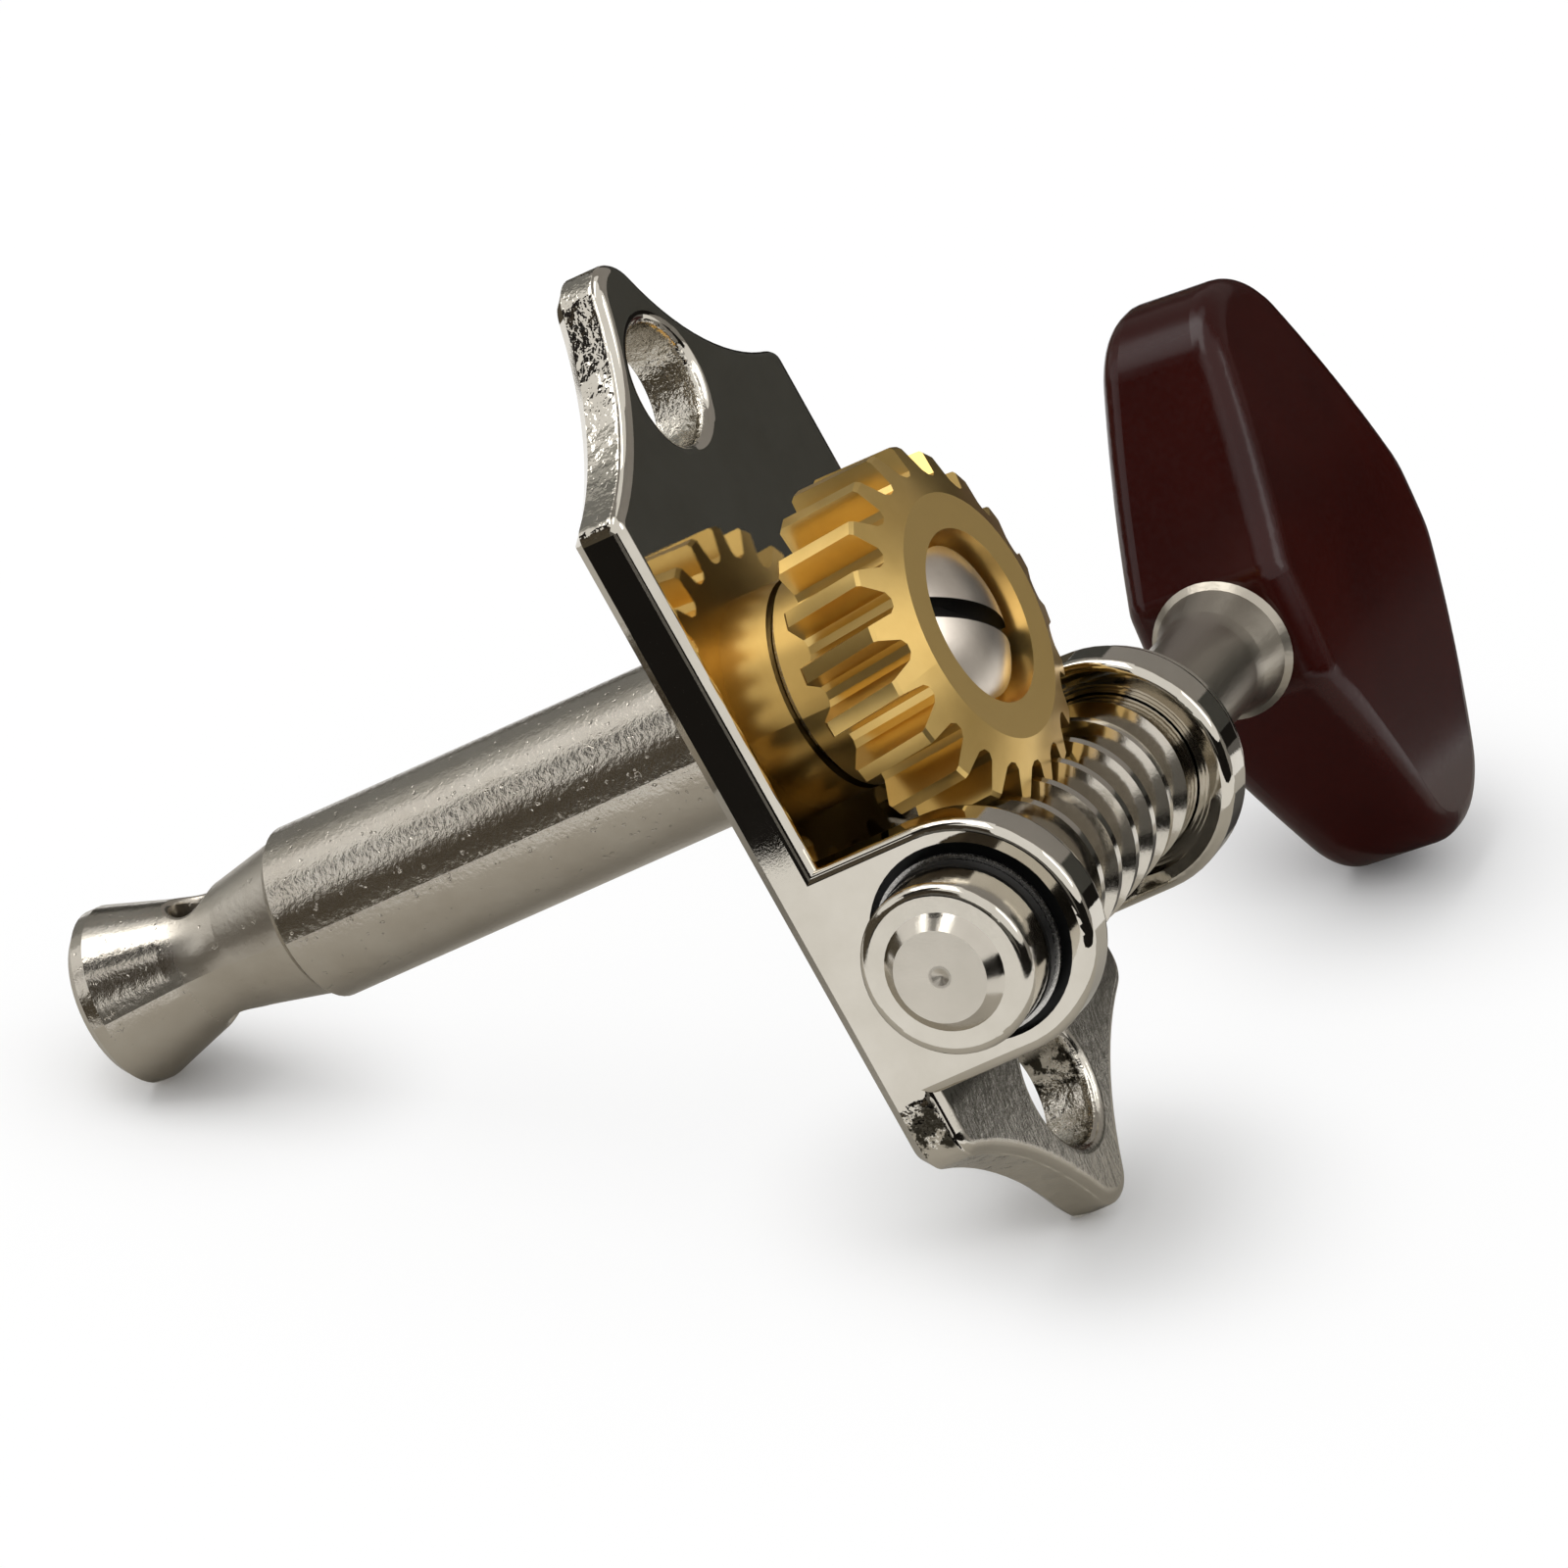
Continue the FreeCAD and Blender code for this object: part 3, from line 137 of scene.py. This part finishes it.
class Zones:
    """Parts of one material's surface, told apart by where they lie on the piece, in metres at rest."""

    def __init__(self, material):
        self.tree = material.node_tree
        self.place = node(self.tree, "ShaderNodeTexCoord")
        self.axes = node(self.tree, "ShaderNodeSeparateXYZ")
        self.facing = node(self.tree, "ShaderNodeSeparateXYZ")
        wire(self.tree,
             (self.place, "Object", self.axes, "Vector"),
             (self.place, "Normal", self.facing, "Vector"))
        self.x, self.y, self.z = self.axes.outputs
        self.normal_x, self.normal_y, self.normal_z = self.facing.outputs
        self.flat = node(self.tree, "ShaderNodeNewGeometry").outputs["True Normal"]
        self.shader = [made for made in self.tree.nodes if made.bl_idname == "ShaderNodeBsdfPrincipled"][0]

    def feed(self, value, socket):
        if isinstance(value, bpy.types.NodeSocket):
            self.tree.links.new(value, socket)
        else:
            socket.default_value = value

    def maths(self, operation, first, second=0.0):
        made = node(self.tree, "ShaderNodeMath", operation=operation)
        self.feed(first, made.inputs[0])
        self.feed(second, made.inputs[1])
        return made.outputs["Value"]

    def sum_of(self, *terms):
        """The sum of sockets, each times its own factor."""
        total = 0.0
        for value, factor in terms:
            total = self.maths("ADD", total, self.maths("MULTIPLY", value, factor))
        return total

    def rise(self, value, low, high):
        """0 below the lower bound, 1 above the upper one and smooth between; swapped bounds make it fall."""
        made = node(self.tree, "ShaderNodeMapRange", {"From Min": min(low, high), "From Max": max(low, high),
                                                      "To Min": 0.0 if low < high else 1.0,
                                                      "To Max": 1.0 if low < high else 0.0},
                    interpolation_type="SMOOTHSTEP")
        self.feed(value, made.inputs["Value"])
        return made.outputs["Result"]

    def both(self, *masks):
        total = masks[0]
        for mask in masks[1:]:
            total = self.maths("MULTIPLY", total, mask)
        return total

    def either(self, first, second):
        return self.maths("MAXIMUM", first, second)

    def round_axis(self, first, second, first_centre, second_centre):
        """The distance from an axis that crosses two coordinates at a place."""
        one = self.maths("SUBTRACT", first, first_centre)
        two = self.maths("SUBTRACT", second, second_centre)
        return self.maths("SQRT", self.sum_of((self.maths("MULTIPLY", one, one), 1.0),
                                              (self.maths("MULTIPLY", two, two), 1.0)))

    def noise(self, scale, detail=3.0, rough=0.6, stretch=(1, 1, 1)):
        squeeze = node(self.tree, "ShaderNodeMapping")
        squeeze.inputs["Scale"].default_value = stretch
        made = node(self.tree, "ShaderNodeTexNoise", {"Scale": scale, "Detail": detail, "Roughness": rough})
        wire(self.tree, (self.place, "Object", squeeze, "Vector"), (squeeze, "Vector", made, "Vector"))
        return made.outputs["Fac"]

    def blend(self, name, mask, value, kind="FLOAT"):
        """Where the mask is 1, the shader's input has this value."""
        socket = self.shader.inputs[name]
        before = socket.links[0].from_socket
        mix = node(self.tree, "ShaderNodeMix", data_type=kind)
        first, second, result = MIX_SOCKETS[kind]
        self.feed(mask, mix.inputs[0])
        self.feed(before, mix.inputs[first])
        self.feed(value, mix.inputs[second])
        self.tree.links.new(mix.outputs[result], socket)

    def recolour(self, mask, colour):
        self.blend("Base Color", mask, (*colour, 1.0), "RGBA")

    def flatten(self, mask):
        """Where the mask is 1, the surface is lit as the flat face that it is."""
        bump = self.shader.inputs["Normal"].links[0].from_node
        plain = node(self.tree, "ShaderNodeNewGeometry").outputs["Normal"]
        mix = node(self.tree, "ShaderNodeMix", data_type="VECTOR")
        self.feed(mask, mix.inputs[0])
        first, second, result = MIX_SOCKETS["VECTOR"]
        self.feed(plain, mix.inputs[first])
        self.feed(self.flat, mix.inputs[second])
        self.tree.links.new(mix.outputs[result], bump.inputs["Normal"])

    def relief(self, mask, pattern, depth):
        """A raised pattern where the mask is 1, on top of the finer one that is there already."""
        socket = self.shader.inputs["Normal"]
        before = socket.links[0].from_socket
        bump = node(self.tree, "ShaderNodeBump", {"Strength": 1.0, "Distance": depth})
        self.feed(self.both(mask, pattern), bump.inputs["Height"])
        self.feed(before, bump.inputs["Normal"])
        self.tree.links.new(bump.outputs["Normal"], socket)


NICKEL = (0.63, 0.59, 0.515)
NICKEL_DARK = (0.56, 0.52, 0.445)
polished = metal("polished_nickel", NICKEL, NICKEL_DARK, roughness=0.022, grain=0.012, bump=0.03)
ringed = metal("ringed_nickel", NICKEL, NICKEL_DARK, roughness=0.10, grain=0.03, bump=0.06)
satin = metal("satin_nickel", (0.58, 0.54, 0.47), (0.50, 0.455, 0.385), roughness=0.17, grain=0.05, bump=0.12)
shaft = metal("shaft_nickel", (0.61, 0.565, 0.49), (0.53, 0.49, 0.42), roughness=0.11, grain=0.04, bump=0.08)
steel = metal("plain_steel", (0.60, 0.58, 0.55), (0.50, 0.48, 0.45), roughness=0.24, grain=0.08, bump=0.3)
screw = metal("screw_nickel", (0.88, 0.80, 0.70), (0.70, 0.62, 0.53), roughness=0.34, grain=0.015, bump=0.06,
              fine=5000.0)
plain_screw = metal("knob_screw_nickel", (0.74, 0.70, 0.64), (0.64, 0.60, 0.54), roughness=0.32, grain=0.08,
                    bump=0.15)
brass = metal("machined_brass", (0.82, 0.57, 0.20), (0.72, 0.48, 0.155), roughness=0.30, grain=0.012, bump=0.03,
              fine=5000.0)
black = plastic("black_polymer", (0.008, 0.008, 0.008), (0.004, 0.004, 0.004), roughness=0.36, bump=0.04,
                shine=0.25)
wine = plastic("wine_plastic", (0.032, 0.0030, 0.0016), (0.023, 0.0020, 0.0011), roughness=0.20, bump=0.06,
               shine=0.28)

# Where each zone begins and where it is full. Facings are shares of the surface's normal along an axis, and
# SLOT_ACROSS is the direction across the gear screw's slot, in x and y
HOLES_MIDDLE = 2.0 * MM
HOLES_SPACING = 26.4 * MM
HOLE_REACH = (2.45 * MM, 2.2 * MM)
HOLE_FACING = (0.8, 0.5)
UPPER_CAST = (-8.9 * MM, -9.4 * MM)
LOWER_CAST = (12.0 * MM, 12.6 * MM)
CAST_FACING = (0.45, 0.2)
SIDE_FACING = (0.95, 0.99)
DARK_BLOTCHES_FROM = (12.2 * MM, 12.5 * MM)
DARK_BLOTCHES_FACING = (0.9, 0.97)
DARK_BLOTCHES_LEVEL = (0.44, 0.50)
BRUSHED_FROM = (12.2 * MM, 13.2 * MM)
BRUSHED_FACING = (0.7, 0.9)
POST_LENGTH_FROM = (-19.4 * MM, -18.4 * MM)
WAIST_FROM = (-23.9 * MM, -22.9 * MM)
WAIST_TO = (-18.7 * MM, -19.1 * MM)
PITS_LEVEL = (0.66, 0.74)
FRONT_FACING = (0.97, 0.995)
NECK_FROM = (-8.6 * MM, -9.2 * MM)
TURNED_FROM = (10.7 * MM, 10.8 * MM)
TURNED_FACING = (0.3, 0.6)
MARK_FROM = (10.5 * MM, 10.6 * MM)
MARK_REACH = (0.42 * MM, 0.34 * MM)
WORM_AXIS = (8.05 * MM, 5.74 * MM)
SLOT_ACROSS = (0.559, 0.829)
SLOT_REACH = (0.37 * MM, 0.34 * MM)


def dress_plate():
    """Cast surfaces at both ends of the plate, torn metal in its screw holes and a brushed lower end."""
    plate = Zones(polished)
    upright = plate.rise(plate.maths("ABSOLUTE", plate.normal_z), *CAST_FACING)
    ends = plate.either(plate.rise(plate.y, *UPPER_CAST), plate.rise(plate.y, *LOWER_CAST))
    from_holes = [plate.round_axis(plate.x, plate.y, 0.0, HOLES_MIDDLE + side * HOLES_SPACING / 2)
                  for side in (-1, 1)]
    holes = [plate.rise(distance, *HOLE_REACH) for distance in from_holes]
    bores = plate.both(plate.either(*holes), plate.rise(plate.normal_z, *HOLE_FACING))
    cast = plate.both(upright, ends, plate.maths("SUBTRACT", 1.0, bores))
    sideways_share = plate.maths("ABSOLUTE", plate.normal_x)
    dark_blotches = plate.both(plate.rise(sideways_share, *DARK_BLOTCHES_FACING), plate.rise(plate.y, *DARK_BLOTCHES_FROM),
                         plate.rise(plate.noise(1300.0, 4.0, 0.65), *DARK_BLOTCHES_LEVEL))
    brushed = plate.both(plate.rise(plate.y, *BRUSHED_FROM), plate.rise(plate.normal_z, *BRUSHED_FACING))
    plate.blend("Roughness", plate.rise(sideways_share, *SIDE_FACING), 0.03)
    plate.blend("Roughness", cast, 0.09)
    plate.blend("Roughness", bores, 0.07)
    plate.blend("Roughness", brushed, 0.20)
    # Dark blotches on the side faces at the plate's lower end
    plate.recolour(dark_blotches, (0.045, 0.04, 0.03))
    plate.relief(cast, plate.noise(1500.0, 3.0, 0.55), 0.12 * MM)
    plate.relief(bores, plate.noise(1800.0, 4.0, 0.6), 0.12 * MM)
    plate.relief(brushed, plate.noise(3200.0, 4.0, 0.65, stretch=(1.0, 0.45, 1.0)), 0.024 * MM)


def dress_post():
    """The post is pitted satin along its length, matte at its waist and smoother round its end."""
    post = Zones(satin)
    length = post.rise(post.z, *POST_LENGTH_FROM)
    waist = post.both(post.rise(post.z, *WAIST_FROM), post.rise(post.z, *WAIST_TO))
    grainy = post.sum_of((length, 0.55), (1.0, 0.45))
    pits = post.rise(post.noise(3600.0, 2.0, 0.5), *PITS_LEVEL)
    post.blend("Roughness", length, 0.20)
    post.blend("Roughness", waist, 0.32)
    post.relief(grainy, post.noise(4400.0, 3.0, 0.6), 0.021 * MM)
    post.relief(grainy, post.maths("MULTIPLY", pits, -1.0), 0.02 * MM)


def dress_wheel():
    """Turned brass: matte front faces, coloured an even, lighter brass that is painted light, and brighter
    teeth.
    """
    wheel = Zones(brass)
    upward = node(wheel.tree, "ShaderNodeSeparateXYZ")
    wheel.tree.links.new(wheel.flat, upward.inputs["Vector"])
    front = wheel.rise(upward.outputs["Z"], *FRONT_FACING)
    wheel.flatten(front)
    wheel.blend("Roughness", front, 0.46)
    # Painted light: the flat front faces get an even brass colour, lighter than the cloudy rest, as on a lit
    # face
    wheel.recolour(front, (0.81, 0.57, 0.215))
    wheel.relief(front, wheel.noise(4200.0, 3.0, 0.6), 0.006 * MM)


def dress_shaft():
    """The shaft's neck and collar are satin, and its turned end is matte round the centre mark."""
    spindle = Zones(shaft)
    neck = spindle.rise(spindle.x, *NECK_FROM)
    turned_end = spindle.both(spindle.rise(spindle.x, *TURNED_FROM),
                              spindle.rise(spindle.normal_x, *TURNED_FACING))
    from_axis = spindle.round_axis(spindle.y, spindle.z, *WORM_AXIS)
    mark = spindle.both(spindle.rise(spindle.x, *MARK_FROM), spindle.rise(from_axis, *MARK_REACH))
    spindle.blend("Roughness", neck, 0.30)
    spindle.blend("Roughness", turned_end, 0.17)
    spindle.blend("Roughness", mark, 0.36)
    # The neck and collar are coloured darker: their satin tone, and in part a painted dark reflection
    spindle.recolour(neck, (0.43, 0.39, 0.325))
    spindle.relief(neck, spindle.noise(4200.0, 3.0, 0.6, stretch=(0.25, 1.0, 1.0)), 0.012 * MM)


def dress_screw():
    """The gear screw's slot is coloured near black: painted shade in the recess."""
    slotted = Zones(screw)
    across = slotted.sum_of(*zip((slotted.x, slotted.y), SLOT_ACROSS))
    # Painted shade: the slot's floor and walls are coloured near black
    slotted.recolour(slotted.rise(slotted.maths("ABSOLUTE", across), *SLOT_REACH), (0.05, 0.045, 0.04))


dress_plate()
dress_post()
dress_wheel()
dress_shaft()
dress_screw()

LOOKS = {
    "base_plate": (polished, "plate_nickel"),
    "string_post": (satin, "post_nickel"),
    "gear_thrust_washer": (steel, "washer_steel"),
    "worm_wheel": (brass, "brass"),
    "gear_screw_washer": (steel, "washer_steel"),
    "gear_screw": (screw, "screw_steel"),
    "worm_shaft": (shaft, "shaft_nickel"),
    "front_bushing": (black, "black_plastic"),
    "tension_washer": (steel, "washer_steel"),
    "friction_washer": (black, "black_plastic"),
    "end_cap": (ringed, "cap_nickel"),
    "rear_bushing": (ringed, "bushing_nickel"),
    "knob": (wine, "knob_plastic"),
    "knob_washer": (steel, "washer_steel"),
    "knob_screw": (plain_screw, "screw_steel"),
}
for name, (material, slot) in LOOKS.items():
    nodes[name].data.materials.clear()
    nodes[name].data.materials.append(material)


# Floor: white from above and clear from below. The camera sees a painted glow on it that paints out the
# object's shadow away from the object:
# the glow's share grows with the distance from each place where the object rests, times that place's own factor
FLOOR_WHITE = 0.94
FLOOR_SIZE = 6.0
GLOW_END = 0.013
GLOW_SHARE = 0.88
GLOW_REACH = (1.3, 1.05, 1.0)
post_end, plate_tip, knob_corner = FLOOR_POINTS
floor_up = (plate_tip - post_end).cross(knob_corner - post_end).normalized()
if floor_up.dot(FORWARD) > 0:
    floor_up = -floor_up
floor_middle = (post_end + plate_tip + knob_corner) / 3
toward_camera = (-FORWARD - floor_up * (-FORWARD).dot(floor_up)).normalized()
sideways = floor_up.cross(toward_camera)
FLOOR = Matrix((sideways, -toward_camera, floor_up)).transposed().to_4x4()


def plane(name, width, depth, matrix):
    half_w, half_d = width / 2, depth / 2
    mesh = bpy.data.meshes.new(name)
    mesh.from_pydata([(-half_w, -half_d, 0), (half_w, -half_d, 0), (half_w, half_d, 0), (-half_w, half_d, 0)],
                     [], [(0, 1, 2, 3)])
    made = bpy.data.objects.new(name, mesh)
    made.matrix_world = matrix
    scene.collection.objects.link(made)
    return made


def floor_material():
    material, tree = new_material("white_sweep")
    shader = node(tree, "ShaderNodeBsdfDiffuse", {"Color": (FLOOR_WHITE, FLOOR_WHITE, FLOOR_WHITE, 1)})
    # Painted glow: an emission that only the camera sees, not a lamp
    painted_glow = node(tree, "ShaderNodeEmission", {"Color": (1, 1, 1, 1), "Strength": 1.0})
    lit = node(tree, "ShaderNodeMixShader")
    view = node(tree, "ShaderNodeLightPath")
    share = node(tree, "ShaderNodeMath", operation="MULTIPLY")
    place = node(tree, "ShaderNodeTexCoord")
    nearest = None
    for point, reach in zip(FLOOR_POINTS, GLOW_REACH):
        away = point - floor_middle
        spot = (away.dot(sideways), -away.dot(toward_camera), 0.0)
        distance = node(tree, "ShaderNodeVectorMath", {1: spot}, operation="DISTANCE")
        tree.links.new(place.outputs["Object"], distance.inputs[0])
        scaled = node(tree, "ShaderNodeMath", {1: reach}, operation="MULTIPLY")
        tree.links.new(distance.outputs["Value"], scaled.inputs[0])
        if nearest is None:
            nearest = scaled.outputs["Value"]
            continue
        least = node(tree, "ShaderNodeMath", operation="MINIMUM")
        tree.links.new(nearest, least.inputs[0])
        tree.links.new(scaled.outputs["Value"], least.inputs[1])
        nearest = least.outputs["Value"]
    fade = node(tree, "ShaderNodeMapRange", {"From Min": 0.0, "From Max": GLOW_END, "To Max": GLOW_SHARE},
                interpolation_type="SMOOTHSTEP")
    tree.links.new(nearest, fade.inputs["Value"])
    clear = node(tree, "ShaderNodeBsdfTransparent")
    side = node(tree, "ShaderNodeNewGeometry")
    mix = node(tree, "ShaderNodeMixShader")
    output = node(tree, "ShaderNodeOutputMaterial")
    wire(tree,
         (view, "Is Camera Ray", share, 0),
         (fade, "Result", share, 1),
         (share, "Value", lit, "Fac"),
         (shader, "BSDF", lit, 1),
         (painted_glow, "Emission", lit, 2),
         (side, "Backfacing", mix, "Fac"),
         (lit, "Shader", mix, 1),
         (clear, "BSDF", mix, 2),
         (mix, "Shader", output, "Surface"))
    return material


floor = plane("floor", FLOOR_SIZE, FLOOR_SIZE, Matrix.Translation(floor_middle) @ FLOOR)
floor.data.materials.append(floor_material())


def aimed(direction, distance):
    """A matrix at that distance along a direction from the object, whose -Z looks back at it."""
    away = direction.normalized()
    across = away.cross(floor_up)
    across = across.normalized() if across.length > 0.01 else sideways
    up = away.cross(across).normalized()
    turn = Matrix((across, up, away)).transposed().to_4x4()
    return Matrix.Translation(floor_middle + away * distance) @ turn


def softbox(name, direction, distance, width, depth, power):
    lamp = bpy.data.lights.new(name, "AREA")
    lamp.shape = "RECTANGLE"
    lamp.size = width
    lamp.size_y = depth
    lamp.energy = power
    made = bpy.data.objects.new(name, lamp)
    made.matrix_world = aimed(direction, distance)
    scene.collection.objects.link(made)
    return made


def from_floor(side, back, up):
    """A direction given to the camera's right, away from the camera and up from the floor."""
    return sideways * side - toward_camera * back + floor_up * up


softbox("key", from_floor(side=-0.5, back=0.1, up=1.0), distance=0.6, width=0.46, depth=0.46, power=1.5)
softbox("fill", from_floor(side=0.9, back=-0.2, up=0.8), distance=0.8, width=0.3, depth=0.4, power=0.7)


# Cards of several tones stand for the room's darker parts in the metal's reflections, and close under the
# object for painted shade, the floor in its shadow; nothing else shows them.
# Bearings and elevations are in degrees, from the camera's side and + to its right, and distances in metres
CARD_STEP = math.radians(3)
CARD_RADIUS = 0.32
CARD_LIFT = 0.0004
BLACK_CLOTH = (0.012, 0.011, 0.010)
BROWN_CLOTH = (0.090, 0.075, 0.055)
GREY_BOARD = (0.28, 0.27, 0.255)
PALE_BOARD = (0.33, 0.315, 0.30)

# Name, first and last bearing, lowest and highest elevation, colour
SKY_CARDS = (
    ("haze_left", -162, -136, -1, 40, (0.26, 0.26, 0.25)),
    ("haze_side", -136, -118, -1, 40, (0.50, 0.50, 0.48)),
    ("wall_left", -118, -62, -1, 9, BROWN_CLOTH),
    ("wall_left_near", -62, -42, -1, 17, BROWN_CLOTH),
    ("wall_near", -42, 3, -1, 17, (0.15, 0.145, 0.135)),
    ("wall_front", 3, 80, -1, 17, BLACK_CLOTH),
    ("wall_right", 80, 112, -1, 15, GREY_BOARD),
    ("wall_back", 112, 210, -1, 15, (0.070, 0.070, 0.065)),
    ("card_left", -64, -28, 17, 44, (0.060, 0.050, 0.038)),
    ("card_high", -86, -60, 26, 64, (0.020, 0.018, 0.017)),
    ("card_back", 105, 208, 15, 54, PALE_BOARD),
    ("card_back_high", 105, 165, 54, 70, PALE_BOARD),
)

# Round the object the floor stays clear of cloth: bearing and radius of its edge on the left
CLEAR_RADIUS = 0.076
CLEAR_EDGE = ((-180, 0.078), (-120, 0.060), (-90, 0.045), (-60, 0.040), (-55, 0.040), (-47, 0.046),
              (-38.5, 0.056), (-31.2, 0.0632))
FRONT_BEARING = CLEAR_EDGE[-1][0]

# Name, first and last bearing, inner and outer radius, colour
FLOOR_CARDS = (
    # A grey disc under the object: painted shade, the floor in the object's shadow as the metal's reflections
    # see it
    ("painted_floor_shade", -180, 180, 0.00036, 0.036, (0.50, 0.48, 0.44)),
    ("floor_card", FRONT_BEARING, 84, CLEAR_RADIUS, CARD_RADIUS, BLACK_CLOTH),
    ("floor_card_right", 84, 112, CLEAR_RADIUS, CARD_RADIUS, GREY_BOARD),
    ("floor_card_back", 112, 180, CLEAR_RADIUS, CARD_RADIUS, BLACK_CLOTH),
)

# Bearing, inner and outer radius of the card behind the knob, which lies on top of the others; its near end, at
# bearings 98 to 119, is painted shade, the floor in the knob's shadow as reflections see it
BACK_EDGE = ((98, 0.012, 0.027), (119, 0.012, 0.027), (121, 0.036, 0.076), (132, 0.036, 0.076),
             (144, 0.036, 0.076), (156, 0.036, 0.076), (168, 0.036, 0.076))


def card_material(name, colour):
    material, tree = new_material(name)
    shader = node(tree, "ShaderNodeBsdfDiffuse", {"Color": (*colour, 1)})
    output = node(tree, "ShaderNodeOutputMaterial")
    wire(tree, (shader, "BSDF", output, "Surface"))
    return material


def card(name, lower, upper, colour):
    """A strip between two rows of points round the object, standing for cloth of the room and, close under the
    object, for painted shade on the floor.
    """
    count = len(lower)
    faces = [(i, i + 1, i + 1 + count, i + count) for i in range(count - 1)]
    mesh = bpy.data.meshes.new(name)
    mesh.from_pydata(lower + upper, [], faces)
    mesh.materials.append(card_material(name, colour))
    made = bpy.data.objects.new(name, mesh)
    made.matrix_world = Matrix.Translation(floor_middle) @ FLOOR
    scene.collection.objects.link(made)
    made.visible_camera = False
    made.visible_diffuse = False
    made.visible_transmission = False
    made.visible_shadow = False


def spot(bearing, radius, height):
    turn = math.radians(bearing)
    return radius * math.sin(turn), -radius * math.cos(turn), height


def row(first, last, radius, height):
    """Points at one height from one bearing to another."""
    count = max(2, round(math.radians(last - first) / CARD_STEP) + 1)
    return [spot(first + (last - first) * index / (count - 1), radius, height) for index in range(count)]


def sky_row(first, last, elevation):
    turn = math.radians(elevation)
    return row(first, last, CARD_RADIUS * math.cos(turn), CARD_RADIUS * math.sin(turn))


for name, first, last, low, high, colour in SKY_CARDS:
    card(name, sky_row(first, last, low), sky_row(first, last, high), colour)
for name, first, last, near, far, colour in FLOOR_CARDS:
    card(name, row(first, last, near, CARD_LIFT), row(first, last, far, CARD_LIFT), colour)
inner = [spot(bearing, radius, CARD_LIFT) for bearing, radius in CLEAR_EDGE]
outer = [spot(bearing, CARD_RADIUS, CARD_LIFT) for bearing, radius in CLEAR_EDGE]
card("floor_card_left", inner[:-1], outer[:-1], (0.080, 0.068, 0.050))
card("floor_card_front", inner[-2:], outer[-2:], BLACK_CLOTH)
# The card behind the knob: its near end is painted shade under the knob, seen only in reflections
card("floor_back", [spot(bearing, near, CARD_LIFT * 2) for bearing, near, far in BACK_EDGE],
     [spot(bearing, far, CARD_LIFT * 2) for bearing, near, far in BACK_EDGE], (0.13, 0.125, 0.12))

# Room light, and plain white wherever the camera, a reflection or clear material looks at the sky
ROOM_STRENGTH = 0.72
world = bpy.data.worlds.new("studio")
scene.world = world
world.use_nodes = True
sky = world.node_tree
sky.nodes.clear()
room = node(sky, "ShaderNodeBackground", {"Color": (1, 1, 1, 1), "Strength": ROOM_STRENGTH})
white = node(sky, "ShaderNodeBackground", {"Color": (1, 1, 1, 1), "Strength": 1.0})
path = node(sky, "ShaderNodeLightPath")
seen = node(sky, "ShaderNodeMath", operation="MAXIMUM")
clear_or_seen = node(sky, "ShaderNodeMath", operation="MAXIMUM")
choose = node(sky, "ShaderNodeMixShader")
out = node(sky, "ShaderNodeOutputWorld")
wire(sky,
     (path, "Is Camera Ray", seen, 0),
     (path, "Is Glossy Ray", seen, 1),
     (seen, "Value", clear_or_seen, 0),
     (path, "Is Transmission Ray", clear_or_seen, 1),
     (clear_or_seen, "Value", choose, "Fac"),
     (room, "Background", choose, 1),
     (white, "Background", choose, 2),
     (choose, "Shader", out, "Surface"))

camera_data = bpy.data.cameras.new("camera")
camera_data.sensor_width = SENSOR_MM
camera_data.lens = FOCAL_PIXELS / PHOTO_PIXELS * SENSOR_MM
camera_data.clip_start = CLIP_NEAR
camera_data.clip_end = CLIP_FAR
camera = bpy.data.objects.new("camera", camera_data)
turn = Matrix((IMAGE_RIGHT, -IMAGE_DOWN, -FORWARD)).transposed()
camera.matrix_world = Matrix.Translation(CAMERA_PLACE) @ turn.to_4x4()
scene.collection.objects.link(camera)
scene.camera = camera

scene.view_settings.view_transform = "Standard"
